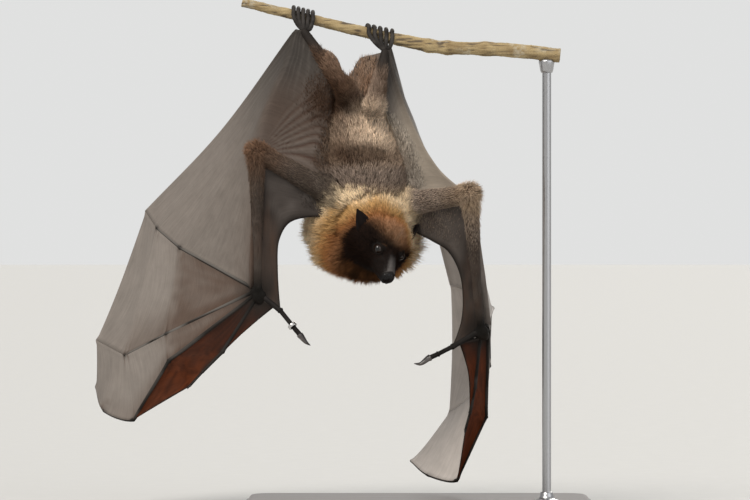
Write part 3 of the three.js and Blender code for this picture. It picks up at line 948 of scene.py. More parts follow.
@dataclass
class Wing:
    """The wing and tail skin of one side, and the bones that it hangs between."""

    side: Side
    bend: float = 0.36  # share of the wing's grid inside the elbow
    elbow_at: float = 0.45  # share of the fore sheet along the upper arm
    lower_leg: float = 0.35  # place on the shin where the wing leaves it
    thumb_reach: float = 0.66
    thumb_base: float = 0.7
    hollows: tuple = (0.08, 0.02, 0.03)
    wing_cells: tuple = (104, 84)
    wing_spread: tuple = (0, 0.09, 0.18, 0.27, 0.36, 0.52, 0.68, 0.84, 1.0)

    def __post_init__(self) -> None:
        """Lays the lines that the sheets share."""
        s = self.side
        self.is_left = s.hand is Hand.LEFT
        self.behind = 0.55 if self.is_left else 1.3
        self.upper_arm = Route([s.shoulder, between(s.shoulder, s.elbow, 0.5), s.elbow])
        self.forearm = Route([between(s.elbow, s.wrist, t) for t in (0, 0.33, 0.67, 1)])
        self.thigh = Route([s.hip, between(s.hip, s.knee, 0.5), s.knee])
        self.shin = Route([s.knee, between(s.knee, s.ankle, 0.5), s.ankle])
        self.fingers = {
            2: Bones(s.finger2), 3: Bones(s.finger3, 2), 4: Bones(s.finger4), 5: Bones(s.finger5),
        }
        self.thumb = Bones(s.thumb)

    def wing_surface(self) -> Surface:
        """The main sheet, from the flank to the fifth finger.

        Returns:
            Places as a function of u and v.
        """
        s, low = self.side, between(self.side.knee, self.side.ankle, self.lower_leg)
        arm = Route([s.armpit, between(s.armpit, s.elbow, 0.5), s.elbow]).at
        leg = Route([s.groin, low, s.ankle, s.heel]).at
        flank = Route([s.armpit, s.flank, s.groin]).at
        fold = Route([s.elbow, *s.fold, s.heel]).at
        radius = Route([s.elbow, between(s.elbow, s.finger5[0], 0.5), s.finger5[0]]).at
        trailing = Route([s.heel, s.trailing, s.finger5[-1]]).at
        inner = patch(arm, leg, flank, fold)
        outer = patch(radius, trailing, fold, self.fingers[5].at)

        def surface(u: Array, v: Array) -> Array:
            """Places of the sheet.

            Args:
                u: fractions along it.
                v: fractions across it.

            Returns:
                Places, with a last axis of three.
            """
            near = inner(np.clip(u / self.bend, 0, 1), v)
            past = np.clip((u - self.bend) / (1 - self.bend), 0, 1)
            far = outer(past, v)
            swell = (ramp(past, 0.5, 0.85) * (1 - ramp(past, 0.93, 1.0)) * ramp(v, 0, 0.05)
                     * (1 - ramp(v, 0.1, 0.5)))
            far = far + np.array([s.bulge, 0.0, 0.0]) * swell[..., None]
            return np.where((u < self.bend)[..., None], near, far)

        return surface

    def webs(self) -> dict[str, Web]:
        """All the sheets of this side, by the name of the node that each replaces.

        Returns:
            One sheet for each name.
        """
        s, f = self.side, self.fingers
        marks = f[3].marks
        whole3 = lambda w: f[3].route.at(np.interp(w, [0, 1 / 3, 2 / 3, 1], [*marks[:3], 1.0]))
        half3 = lambda w: f[3].route.at(w * marks[2])
        base = between(s.thumb[0], s.thumb[1], self.thumb_base)
        thumb_edge = Route([base, *s.thumb_edge, s.finger2[2]]).at
        low = between(s.knee, s.ankle, self.lower_leg)
        e = self.elbow_at

        def arm(u: Array) -> Array:
            """Places from the shoulder to the wrist."""
            upper = self.upper_arm.at(np.clip(u / e, 0, 1))
            return np.where((u < e)[..., None], upper, self.forearm.at((u - e) / (1 - e)))

        return {
            "wing_membrane": Web(
                self.wing_surface(), self.wing_cells, (5.5, 2.0, 2.0, 1.4), self.paint_wing,
                rounds=10, spread=self.wing_spread),
            "hand_membrane_5_4": Web(
                ruled(f[5].at, f[4].at, self.hollows[0]), (40, 26), (1.5, 1.6, 2, 0),
                self.paint_hand, across=True, behind=self.behind),
            "hand_membrane_4_3": Web(
                ruled(f[4].at, whole3, self.hollows[1]), (40, 20), (1.6, 1.7, 2, 0),
                self.paint_hand, across=True, behind=self.behind),
            "hand_membrane_3_2": Web(
                ruled(half3, f[2].at, self.hollows[2]), (28, 14), (1.7, 1.4, 2, 0),
                self.paint_rust_and_glow, across=True),
            "thumb_membrane": Web(
                ruled(lambda w: f[2].at(w * self.thumb_reach), thumb_edge), (24, 8),
                (1.5, 0, 2, 0.8), self.paint_rust_and_glow, across=True),
            "fore_membrane": Web(
                ruled(arm, Route([*s.fore_edge, s.thumb[1]]).at), (54, 18), (5.0, 0, 0.8, 2),
                self.paint_fore),
            "leg_membrane": Web(
                ruled(Route([s.knee, low, s.ankle]).at,
                      Route([s.crotch, *s.tail_edge, s.ankle]).at),
                (24, 10), (3, 0, 1, 1), self.paint_leg),
        }

    def joint_spots(self, places: Array, width: float) -> Array:
        """How dark the skin is round the finger joints, from 0 to 1.

        Args:
            places: places, with a last axis of three.
            width: how far each spot reaches.

        Returns:
            One share for each place.
        """
        dark = np.zeros(places.shape[:-1])
        for number in (3, 4, 5):
            for joint in getattr(self.side, f"finger{number}")[1:-1]:
                dark = np.maximum(dark, close_to(places, joint, width))
        return dark

    def dark_at_wrist(self, tone: Array, p: Array, width: float, depth: float = 1.2) -> Array:
        """Colours darkened round the wrist."""
        near = close_to(p, self.side.wrist, width)
        return mix(tone, MARKS.web_dark, np.clip(near * depth, 0, 0.95))

    def paint_wing(self, p: Array, u: Array, v: Array, edge: Array) -> tuple[Array, Array]:
        """Colour and lift of the main sheet.

        Args:
            p: places on it.
            u: fractions from the flank to the fifth finger.
            v: fractions from the arm to the leg and trailing edge.
            edge: distances from its nearest border.

        Returns:
            The colours, and how far each place stands out of the sheet, in millimetres.
        """
        elbow = np.array(self.side.elbow)
        away = p - elbow
        far = np.linalg.norm(away, axis=-1)
        inside = 1 - ramp(u, self.bend - 0.06, self.bend + 0.10)
        turn = np.degrees(np.arctan2(away[..., 2], away[..., 0]))
        fan = inside * ramp(far, 7, 26) * (1 - ramp(v, 0.5, 0.78))
        fan = fan * (0.08 if self.is_left
                     else ramp(-turn, -60, -40) * (0.35 + 0.8 * cloud(p, 12, 20)))
        crest = np.abs(np.sin(math.pi * (turn / 8.6 + 2.6 * (cloud(p, 24, 11) - 0.5))))
        fine = np.abs(np.sin(math.pi * (turn / 3.3 + 1.2 * (cloud(p, 14, 17) - 0.5))))
        pleat = crest * 0.75 + fine * 0.25
        along = (v * 30
                 + 1.2 * cloud(np.stack([p[..., 0] * 0.3, p[..., 1] * 0.3, v * 60], -1), 9, 12))
        cords = np.maximum(0, np.sin(along * math.pi)) ** 4
        ridges = np.maximum(0, np.sin(math.pi * (u * 58 + 1.5 * cloud(p, 16, 25)))) ** 3
        cords = cords * (1 - inside) + ridges * inside * ramp(v, 0.35, 0.6)
        cords = cords * (0.3 + 0.6 * cloud(p, 20, 18))
        slack = (cloud(p, 34, 13) - 0.5) * 1.6 + (cloud(p, 15, 14) - 0.5) * 0.7
        lift = fan * (pleat - 0.55) * 1.5 + cords * 0.4 * ramp(v, 0.2, 0.6) + slack
        outer = ramp(u, self.bend, 1.0)
        tone = mix(MARKS.web, MARKS.web_light, outer * 0.45
                   + 0.2 * cloud(p, 30, 15) * ramp(v, 0.1, 0.6))
        foot = far_from(p, self.side.ankle)
        tone = tone * (0.28 + 0.72 * ramp(foot, 10, 150))[..., None]
        tone = mix(tone, MARKS.web_light, ramp(-edge, -6, -0.5) * outer * ramp(v, 0.85, 1) * 0.5)
        fore = (1 - ramp(v, 0.0, 0.20)) * ramp(u, self.bend - 0.03, self.bend + 0.05)
        streak = cloud(p * (1, 1, 0.25), 4, 16)
        tone = mix(tone, MARKS.web_brown,
                   fore * (0.45 + 0.5 * streak) * (0.2 if self.is_left else 1.0))
        body = inside * (1 - ramp(v, 0.35, 0.8))
        tone = mix(tone, MARKS.web_brown, body * (0.1 if self.is_left else 0.6))
        # on the left the inner sheet is painted lighter: partly the underside's own tone, partly
        # painted light shining through the skin
        tone = mix(tone, np.array(MARKS.web_light) * (1.5, 1.45, 1.3),
                   body * (0.7 if self.is_left else 0.0))
        # painted highlight on the pleats' raised crests, and reddish painted shade in their troughs
        tone = mix(tone, MARKS.web_light, fan * ramp(pleat, 0.6, 0.95) * 0.25)
        tone = mix(tone, MARKS.web_red, fan * ramp(-pleat, -0.55, -0.15) * 0.7)
        tone = mix(tone, MARKS.web_light, cords * 0.22 * ramp(v, 0.3, 0.7))
        if self.is_left:
            # the strip beside the left forearm is painted pale: the underside's own pale tone, with
            # painted light where it is lit and where light shines through the skin
            pale_lit_strip = ramp(v, 0.0, 0.05) * ramp(u, self.bend, self.bend + 0.2)
            tone = mix(tone, MARKS.web_pale, pale_lit_strip * 0.75)
        tone = self.dark_at_wrist(tone, p, 9 if self.is_left else 15, 1.1)
        # the dark patch by the right hip, on the wing skin: dark fur, with painted shade in the
        # hollow beside the thigh
        tone = mix(tone, MARKS.back_dark, 0.85 * blob(p, (-89, -28, 373), (13, 60, 19)))
        return mix(tone, MARKS.web_dark, self.joint_spots(p, 2.6) * 0.85), lift

    def paint_hand(self, p: Array, u: Array, v: Array, edge: Array) -> tuple[Array, Array]:
        """Colour and lift of a light sheet between two long fingers.

        Args:
            p: places in the model's frame.
            u: fractions along the sheet, from its first border.
            v: fractions across it.
            edge: distances from its nearest border.

        Returns:
            The colours, and how far each place stands out of the sheet.
        """
        slack = (cloud(p, 26, 21) - 0.5) * 1.8
        around = self.joint_spots(p, 9.0)
        line = u * 60 + 2.0 * cloud(p, 18, 22)
        cords = np.maximum(0, np.sin(line * 2 * math.pi * 0.5)) ** 3
        lift = slack + cords * (0.12 + 0.7 * around)
        outer = ramp(u, 0.10, 0.60)
        # on the left the outer sheet is painted pale: partly the underside's own tone, partly
        # painted light shining through it
        light = MARKS.web_pale if self.is_left else MARKS.web_light
        tone = mix(MARKS.web, light, outer * 0.9 + 0.1 * cloud(p, 12, 24))
        brown = (1 - ramp(u, 0.15, 0.55)) * (0.4 + 0.5 * cloud(p, 7, 23))
        tone = tone * (1 - (0.0 if self.is_left else 0.22) * ramp(u, 0.6, 1.0)
                       * cloud(p, 15, 27))[..., None]
        tone = mix(tone, MARKS.web_brown, brown * (0.3 if self.is_left else 1.0))
        low = ramp(v, 0.55, 1.0) * (1 - ramp(u, 0.55, 0.95))
        tone = mix(tone, MARKS.web_brown, low * (0.0 if self.is_left else 0.45))
        wrinkled = around * cords * (0.2 if self.is_left else 0.7)
        tone = mix(tone, MARKS.web_brown, wrinkled)
        tone = self.dark_at_wrist(tone, p, 20)
        tone = mix(tone, light, ramp(-edge, -5, -0.4) * ramp(u, 0.9, 1.0) * 0.7)
        spots = self.joint_spots(p, 2.4) * (0.35 if self.is_left else 0.9)
        return mix(tone, MARKS.web_dark, spots), lift

    def paint_rust_and_glow(self, p: Array, u: Array, v: Array, edge: Array) -> tuple[Array, Array]:
        """Colour and lift of the thin sheets before the third finger: reddish brown, partly painted
        light shining through them.

        Args:
            p: places in the model's frame.
            u: fractions along the sheet, from its first border.
            v: fractions across it; not used.
            edge: distances from its nearest border.

        Returns:
            The colours, and how far each place stands out of the sheet.
        """
        # reddish brown: partly the skin's own colour, partly painted light shining through it from
        # behind, brighter on the left
        tone = mix(MARKS.web_rust_glow, MARKS.web_red, cloud(p, 6, 31) * 0.6)
        tone = tone * (0.55 + 0.9 * cloud(p, 2.2, 33))[..., None]
        tone = tone * (np.array([1.5, 1.35, 1.2]) if self.is_left else 0.45
                       + 0.75 * ramp(u, 0.1, 0.8)[..., None])
        tone = self.dark_at_wrist(tone, p, 24)
        tone = mix(tone, MARKS.web_dark, ramp(-edge, -4.0, -0.8) * 0.85)
        return tone, (cloud(p, 14, 32) - 0.5) * 1.0

    def paint_fore(self, p: Array, u: Array, v: Array, edge: Array) -> tuple[Array, Array]:
        """Colour and lift of the sheet before the arm.

        Args:
            p: places in the model's frame.
            u: fractions along the sheet, from its first border.
            v: fractions across it.
            edge: distances from its nearest border; not used.

        Returns:
            The colours, and how far each place stands out of the sheet.
        """
        tone = mix((0.048, 0.039, 0.034), (0.085, 0.072, 0.064), cloud(p, 9, 41))
        tone = tone * (1 - 0.5 * ramp(u, 0.42, 0.6))[..., None]
        tone = mix(tone, MARKS.web_brown,
                   ramp(u, 0.45, 0.7) * cloud(p * (1, 1, 0.2), 3.5, 42) * 0.7)
        tone = mix(tone, MARKS.web_dark, ramp(v, 0.86, 1.0) * 0.85)
        tone = self.dark_at_wrist(tone, p, 17)
        lift = (cloud(p, 16, 43) - 0.5) * 1.6 + (cloud(p * (1, 1, 0.3), 5, 44) - 0.5) * 0.5
        return tone, lift

    def paint_leg(self, p: Array, u: Array, v: Array, edge: Array) -> tuple[Array, Array]:
        """Colour and lift of the narrow sheet inside the leg."""
        tone = mix(MARKS.web, MARKS.web_brown, cloud(p, 8, 51) * 0.7)
        return tone, (cloud(p, 9, 52) - 0.5) * 1.2


# ---------------------------------------------------------------- the skin
def level_hoops(stations: Sequence, inset: float, rows: int, sides: int) -> Array:
    """Level hoops through stations, drawn in by the coat's depth.

    Args:
        stations: height, middle in X and Y, half width and half depth.
        inset: the coat's depth.
        rows: how many hoops.
        sides: points round each.

    Returns:
        An array of hoops by sides by three.
    """
    z, x, y, wide, deep = Route(stations).at(np.linspace(0, 1, rows)).T
    low = z.min()
    z = z + 0.7 * inset * (1 - np.clip((z - low) / (2 * inset), 0, 1))
    wide, deep = np.maximum(wide - inset, 1.5), np.maximum(deep - inset, 1.5)
    zero = np.zeros(rows)
    across, along = np.stack([wide, zero, zero], -1), np.stack([zero, deep, zero], -1)
    return hoops_along(np.stack([x, y, z], -1), across, along, sides)


def capped(hoops: Array) -> Body:
    """The closed body of hoops, its ends at the middles of the first and last."""
    return loft(hoops, hoops[0].mean(0), hoops[-1].mean(0))


@dataclass
class Flesh:
    """The bare body under the coat: its cores, and the curves that its limbs follow."""

    trunk_depth: float = 4.5
    mane_depth: float = 11.0
    grain: float = 1.7
    rounds: int = 4
    upper_arm: tuple = (12.5, 9.8, 7.6)
    forearm: tuple = (7.2, 6.2, 4.3, 4.9)
    thigh: tuple = (12.5, 10.2, 7.8)
    shin: tuple = (7.6, 5.4, 3.9)
    collar: tuple = ((-46, 24, 22), (-38, 30.5, 28.5), (-31, 31.5, 29), (-24, 28, 25.5),
                     (-18, 23, 20))
    knuckles: tuple = (
        (0, 0, 0, 4.8), (-5, -1, 1, 3.4), (4, -2.5, -2, 3.6), (0, -3, 4.5, 3.4), (1, -0.5, -5.5,
                                                                                  4.2),
        (5, 0, -6, 3.8), (-3, -2, -4, 3.4),
    )

    def limbs(self, wing: Wing) -> dict[str, tuple[Curve, Curve]]:
        """The curve and the radius of each limb of a side.

        Args:
            wing: the wing of the side.

        Returns:
            A curve and a radius for each limb's name.
        """
        return {
            "upper_arm": (wing.upper_arm.at, table_of(self.upper_arm)),
            "forearm": (wing.forearm.at, table_of(self.forearm)),
            "thigh": (wing.thigh.at, table_of(self.thigh)),
            "shin": (wing.shin.at, table_of(self.shin)),
        }

    def collar_hoops(self, rows: int, sides: int) -> Array:
        """Hoops round the back of the head, where it meets the neck.

        Args:
            rows: how many hoops.
            sides: points round each hoop.

        Returns:
            An array of hoops by sides by three.
        """
        at, wide, high = Route(self.collar).at(np.linspace(0, 1, rows)).T
        line = in_head(at, 0 * at, 0 * at)
        return hoops_along(line, wide[:, None] * LEFTWARD, high[:, None] * CROWN, sides)

    def body(self, wings: Sequence[Wing]) -> Body:
        """Trunk, neck, arms and legs as one smooth skin.

        Args:
            wings: both wings.

        Returns:
            The painted skin.
        """
        parts = [
            capped(level_hoops(TRUNK, self.trunk_depth, 48, 64)),
            capped(level_hoops(MANE, self.mane_depth, 48, 64)),
            capped(self.collar_hoops(24, 64)),
        ]
        for wing in wings:
            for curve, radius in self.limbs(wing).values():
                parts.append(tube(curve, radius, 32, 28))
            wrist = np.array(wing.side.wrist, float)
            for x, y, z, size in self.knuckles:
                middle = wrist + (x, y, z)
                line = lambda t, m=middle: m + np.stack([t * 0, t * 0, (t - 0.5) * 2.0], -1)
                parts.append(tube(line, lambda t, s=size: t * 0 + s, 16, 2))
        skin = fused(parts, self.grain, self.rounds)
        return skin.painted(self.tones(skin.points, wings))

    def tones(self, p: Array, wings: Sequence[Wing]) -> Array:
        """The skin's colours, dark under the coat.

        Args:
            p: places in the model's frame.
            wings: both wings.

        Returns:
            One colour for each place.
        """
        near = [np.linalg.norm(p[:, None, :] - self.line(w)[None], axis=-1).min(1) for w in wings]
        tone = MARKS.trunk(p) * 0.45
        mane = ramp(-p[:, 2], -300, -288)
        tone = mix(tone, MARKS.mane(p) * 0.65, mane)
        for wing, gap in zip(wings, near):
            side = wing.side
            arm = mix((0.035, 0.027, 0.022), (0.062, 0.050, 0.042), cloud(p, 7, 61))
            arm = mix(arm, MARKS.web_brown, cloud(p * (1, 1, 0.25), 4, 62) * 0.4)
            elbow = close_to(p, side.elbow, 20)
            arm = mix(arm, MARKS.rufous, elbow * 0.35)
            wrist = close_to(p, side.wrist, 17)
            arm = mix(arm, MARKS.black, np.clip(wrist * 1.2, 0, 1))
            tone = mix(tone, arm, ramp(-gap, -17, -13))
            leg = MARKS.leg(p, side) * 0.5
            shin = np.linalg.norm(p[:, None] - wing.shin.at(np.linspace(0, 1, 12))[None], axis=-1)
            tone = mix(tone, leg, ramp(-shin.min(1), -14, -10) * ramp(p[:, 2], 370, 380))
        return tone

    def line(self, wing: Wing) -> Array:
        """Places along the middle of an arm, from its own fur to the wrist."""
        t = np.linspace(0, 1, 24)
        return np.vstack([wing.upper_arm.at(t[8:]), wing.forearm.at(t)])


@dataclass
class Head:
    """The head's skin: skull, muzzle, nose, mouth, lids and ears."""

    rows: int = 104
    sides: int = 84
    ears: tuple = (  # the right ear and the left: root, tip, and the way across
        ((-16, -24.5, 8), (-27, -35, 15.5), (0, -1, -0.42)),
        ((-17, 21, 13), (-22, 25.5, 25), (1, 0.5, 1)),
    )
    ear_half: float = 7.8
    ear_thick: float = 0.8

    def hoops(self) -> Array:
        """The hoops of the head from the nape to the nose.

        Returns:
            An array of hoops by sides by three.
        """
        t = np.linspace(0, 1, self.rows)
        at, wide, high, rise = Route(SKULL).at(t).T
        turn = np.linspace(0, 2 * math.pi, self.sides, endpoint=False)
        along = np.repeat(at[:, None], self.sides, 1)
        c, s = np.cos(turn)[None], np.sin(turn)[None]
        snout = ramp(along, 2, 14)
        narrow = 1 - snout * 0.22 * np.clip(-s, 0, 1) ** 1.5 - snout * 0.10 * np.clip(s, 0, 1)
        out = wide[:, None] * c * narrow
        up = rise[:, None] + high[:, None] * s * (1 - 0.06 * snout * np.clip(-s, 0, 1))
        places = in_head(along, out, up)
        outward = unit(places - in_head(along, out * 0, rise[:, None] + 0 * up))
        return places + outward * self.relief(along, out, up)[..., None]

    def relief(self, along: Array, out: Array, up: Array) -> Array:
        """How far the skin stands out of the plain skull, in millimetres.

        Args:
            along: places along the muzzle.
            out: places out to the left ear.
            up: places up to the crown.

        Returns:
            One height for each place.
        """
        side = np.abs(out)
        spot = lambda a, o, u, r: np.exp(-((along - a) ** 2 + (side - o) ** 2 + (up - u) ** 2)
                                         / r**2)
        brow = 1.5 * spot(0.5, 8.5, 11.0, 5.0)
        socket = -1.0 * spot(9.0, 9.5, 3.5, 4.0)
        cheek = 1.3 * spot(-4, 17, -6, 8) + 0.9 * spot(13, 8.5, -8, 4.5)
        flank = -0.9 * spot(17, 8, -2.5, 4.5)
        bridge = 0.7 * hump(side, 2.6) * ramp(along, 6, 12) * ramp(up, -2, 2)
        lips = hump(up + 8.2 + 0.10 * (along - 20), 0.55) * ramp(along, 6, 11)
        chin = hump(up + 8.2 + 0.10 * (along - 20), 2.4) * ramp(along, 10, 18) * 0.5
        pad = 1.25 * spot(29.0, 2.6, -3.2, 2.3)
        groove = -0.9 * hump(side, 0.7) * ramp(along, 26.5, 29)
        nostril = -2.1 * np.exp(-((side - 3.1) ** 2 / 0.8 + (up + 3.3) ** 2 / 1.3
                                   + (along - 29.6) ** 2 / 2.2))
        whiskers = 0.14 * np.sin(along * 2.6) * np.sin(up * 2.4) * ramp(along, 12, 18)
        creases = (0.16 * np.sin(along * 3.4 + 0.8 * np.sin(side)) * ramp(along, 15, 19)
                   * ramp(up, -4, -1))
        base = brow + socket + cheek + flank + bridge + chin + pad + groove + nostril
        return base - 0.75 * lips + whiskers + creases

    def tone(self, p: Array) -> Array:
        """The head's skin colours: black, with a grey bridge that is partly bare grey skin and
        partly a painted highlight, and a wet black nose.

        Args:
            p: places in the model's frame.

        Returns:
            One colour for each place.
        """
        along, out, up = of_head(p)
        tone = MARKS.head(p) * 0.5
        # the grey bridge: bare grey skin, partly a painted highlight where the muzzle's top catches
        # the light
        bridge = ramp(along, 6, 22) * ramp(up, -5.5, -1.0) * (1 - ramp(along, 25.5, 27.5))
        bridge = bridge * (1 - ramp(np.abs(out - 0.8) - 0.12 * along, 0.0, 5.0))
        tone = mix(tone, (0.110, 0.100, 0.095), bridge * (0.5 + 0.5 * cloud(p, 2.5, 72)))
        muzzle = ramp(along, 8, 16) * (1 - bridge)
        tone = mix(tone, (0.007, 0.005, 0.004), muzzle * 0.8)
        return mix(tone, (0.006, 0.005, 0.005), ramp(along, 26.5, 28))

    def ear(self, root: tuple, tip: tuple, across: tuple) -> Body:
        """One pointed, cupped ear with a rolled rim.

        Args:
            root: the middle of its foot, in the head's own axes.
            tip: its tip.
            across: the way of its width.

        Returns:
            The ear.
        """
        root = in_head(*root)
        rise = in_head(*tip) - root
        wide = in_head(*across) - HEAD_MIDDLE
        wide = unit(wide - rise * wide.dot(rise) / rise.dot(rise))
        face = unit(np.cross(rise, wide))
        forward = face if face.dot(MUZZLE) > 0 else -face
        u, v = np.meshgrid(np.linspace(-0.18, 1, 25), np.linspace(-1, 1, 21), indexing="ij")
        width = self.ear_half * np.clip(1 - u, 0, 1) * (1 + 0.5 * u) + 0.2
        width = np.where(u < 0, self.ear_half * (1 + 0.5 * u), width)
        cup = (0.42 * v**2 - 0.18) * width - 0.9 * hump(np.abs(v) - 0.93, 0.07)
        ribs = 0.13 * np.sin(u * 46) * (1 - v**2)
        places = (root + rise * u[..., None] + wide * (v * width)[..., None]
                  + forward * (cup + ribs)[..., None])
        half = (self.ear_thick * (1.15 - 0.7 * np.clip(u, 0, 1)) * (1 - 0.35 * v**2))[..., None] / 2
        half = grid_normals(places) * half
        body = closed_sheet(places + half, places - half)
        shade = cloud(body.points, 3, 71) * 0.5
        return body.painted(mix((0.004, 0.003, 0.003), (0.014, 0.008, 0.006), shade))

    def lid(self, sign: int) -> Body:
        """The lids and the mound of skin round one eye.

        Args:
            sign: 1 for the left, -1 for the right.

        Returns:
            One closed ring of skin.
        """
        gaze, middle = eye_gaze(sign), eye_middle(sign)
        across = unit(MUZZLE - gaze * MUZZLE.dot(gaze))
        upward = np.cross(gaze, across)
        upward = upward if upward.dot(CROWN) > 0 else -upward
        turn = np.linspace(0, 2 * math.pi, 56, endpoint=False)
        c, s = np.cos(turn), np.sin(turn)
        open_angle = np.radians(47 + 9 * np.abs(c) ** 3 - 6 * np.clip(s, 0, 1) ** 2)
        rings = []
        for size, more in ((4.9, 0.0), (5.42, 0.0), (5.95, 5.0), (6.15, 15.0), (6.0, 24.0),
                           (6.35, 34.0)):
            angle = open_angle + math.radians(more)
            rings.append((np.sin(angle) * size, np.cos(angle) * size))
        for reach, height in ((7.4, 0.6), (8.8, -1.6), (9.2, -4.2), (5.5, -4.0)):
            rings.append((np.full_like(c, reach), np.full_like(c, height)))
        hoops = np.array([
            middle + gaze * h[:, None] + across * (r * c)[:, None] + upward * (r * s)[:, None]
            for r, h in rings
        ])
        body = torus(hoops)
        up = of_head(body.points)[2]
        return body.painted(mix((0.006, 0.004, 0.003), MARKS.forehead, ramp(up, 10.5, 14) * 0.5))

    def bodies(self) -> list[Body]:
        """The head's shells.

        Returns:
            The skull, the two ears and the two mounds of lids.
        """
        skull = capped(self.hoops())
        skull.painted(self.tone(skull.points))
        return [skull, *(self.ear(*ear) for ear in self.ears), *(self.lid(s) for s in (1, -1))]


@dataclass
class Digits:
    """The thumbs, fingers and toes of one side."""

    wing: Wing
    radii: tuple = (
        (2, (2.0, 1.6, 1.2, 0.8)), (3, (2.1, 1.8, 1.4, 1.1, 0.7)), (4, (2.1, 1.7, 1.3, 0.7)),
        (5, (2.1, 1.7, 1.3, 0.7)),
    )
    thumb: tuple = (3.3, 2.1, 2.0, 2.5)
    toe: tuple = (2.6, 2.1, 1.9, 1.8, 1.75, 1.5, 1.1, 0.8)
    toe_way: tuple = ((-9, -9), (-7.4, -1), (-4.6, 5.4), (0, 7.3), (5, 5.2), (7.4, 0.5),
                      (5.8, -4.6))
    toe_part: tuple = (0.6, 1, 1, 1, 1, 1, 1)
    toe_hook: tuple = (0, 0, 0, 0.4, 0.7, 1, 1)
    toe_flesh: float = 0.72
    toe_dark: tuple = (0.014, 0.012, 0.011)
    toe_light: tuple = (0.055, 0.049, 0.045)

    def knobbed(self, marks: Sequence[float], radii: Sequence[float], length: float) -> Curve:
        """A bone's radius with a swelling at each joint.

        Args:
            marks: fractions where the joints lie.
            radii: radii at the joints.
            length: the bone's whole length.

        Returns:
            The radius as a function of the fraction.
        """

        def radius(t: Array) -> Array:
            """Radii for fractions of the bone.

            Args:
                t: fractions of the bone.

            Returns:
                One radius for each.
            """
            size = np.interp(t, marks, radii)
            for mark, base in list(zip(marks, radii))[1:-1]:
                size = size + 0.36 * base * hump((t - mark) * length, 2.4)
            return size

        return radius

    def finger(self, number: int, radii: Sequence[float]) -> Body:
        """One finger, dark, with swollen joints and a painted highlight along its upper front side.

        Args:
            number: the finger's number.
            radii: radii at its joints.

        Returns:
            The finger.
        """
        bone = self.wing.fingers[number]
        length = np.linalg.norm(np.diff(bone.route.at(np.linspace(0, 1, 80)), axis=0), axis=1).sum()
        body = tube(bone.route.at, self.knobbed(bone.marks, radii, length), 10, 56)
        line = bone.route.at(np.linspace(0, 1, 120))
        rest = body.points - nearest_on(line, body.points)
        # painted highlight: the bone's upper front side is painted lighter, as if the light falls on
        # it
        painted_top_light = ramp(rest @ np.array([0.2, -0.5, 0.85]), -0.5, 0.9)
        light = MARKS.web_pale if self.wing.is_left and number != 3 else (0.12, 0.11, 0.10)
        tone = mix(MARKS.bone, light, painted_top_light * {2: 0.06, 3: 0.3}.get(number, 1.0))
        dark = self.wing.joint_spots(body.points, 3.4)
        near = close_to(body.points, self.wing.side.wrist, 22)
        return body.painted(mix(tone, MARKS.black, np.clip(dark + near * 1.2, 0, 0.95)))

    def thumb_body(self) -> Body:
        """The thumb with its joint and pad.

        Returns:
            The painted thumb.
        """
        bone = self.wing.thumb
        body = tube(bone.route.at, self.knobbed(bone.marks, self.thumb, 46), 20, 48)
        wrinkle = 1 + 0.035 * np.sin(body.points @ np.array([2.1, 1.2, -1.6]))
        near = nearest_on(bone.route.at(np.linspace(0, 1, 60)), body.points)
        body.points = near + (body.points - near) * wrinkle[:, None]
        return body.painted(mix(MARKS.black, (0.018, 0.015, 0.014), cloud(body.points, 4, 82)))

    def toe_curves(self) -> list[Route]:
        """The way of each toe, from the heel over the perch to the tip of its claw.

        Returns:
            Five routes.
        """
        side, middle_y = self.wing.side, PERCH_LINE[0][1]
        routes = []
        for place in (-2, -1, 0, 1, 2):
            x = side.toe_middle + place * side.toe_spread
            lean = side.toe_lean * (2 - place)
            z = perch_height(x)
            path = [
                (side.ankle[0] + (x - side.ankle[0]) * part + hook * lean, middle_y + dy, z + dz)
                for (dy, dz), part, hook in zip(self.toe_way, self.toe_part, self.toe_hook)
            ]
            heel = (side.ankle[0] + place, side.ankle[1], side.ankle[2] + 3)
            routes.append(Route([heel, *path]))
        return routes

    def toes(self) -> list[Body]:
        """The toes as far as their claws, creased across.

        Returns:
            Five painted toes.
        """
        bodies = []
        for route in self.toe_curves():
            curve = lambda t, r=route: r.at(t * self.toe_flesh)
            knuckle = lambda t: (np.interp(t * self.toe_flesh, np.linspace(0, 1, 8), self.toe)
                                 + 0.28 * hump(t - 0.62, 0.06)
                                 + 0.30 * hump(t - 0.97, 0.05)
                                 + 0.07 * np.sin(t * 95))
            body = tube(curve, knuckle, 10, 44)
            tone = mix(self.toe_dark, self.toe_light, cloud(body.points, 3, 83))
            bodies.append(body.painted(tone))
        return bodies

    def bodies(self) -> list[Body]:
        """All the digits of the side."""
        fingers = [self.finger(number, radii) for number, radii in self.radii]
        return [*fingers, self.thumb_body(), *self.toes()]


# ---------------------------------------------------------------- the perch's line
PERCH_LINE = (
    (-160, -20, 462), (-126, -20, 453.6), (-90, -20, 444.6), (-50, -20, 435.2),
    (-22, -20, 428.9), (18, -20, 421.7), (72, -20, 419.5), (126, -20, 414),
)
PERCH_ROUTE = Route(PERCH_LINE)


def perch_height(x: float) -> float:
    """The height of the perch's middle line at a place along X."""
    line = PERCH_ROUTE.at(np.linspace(0, 1, 2001))
    return float(np.interp(x, line[:, 0], line[:, 2]))


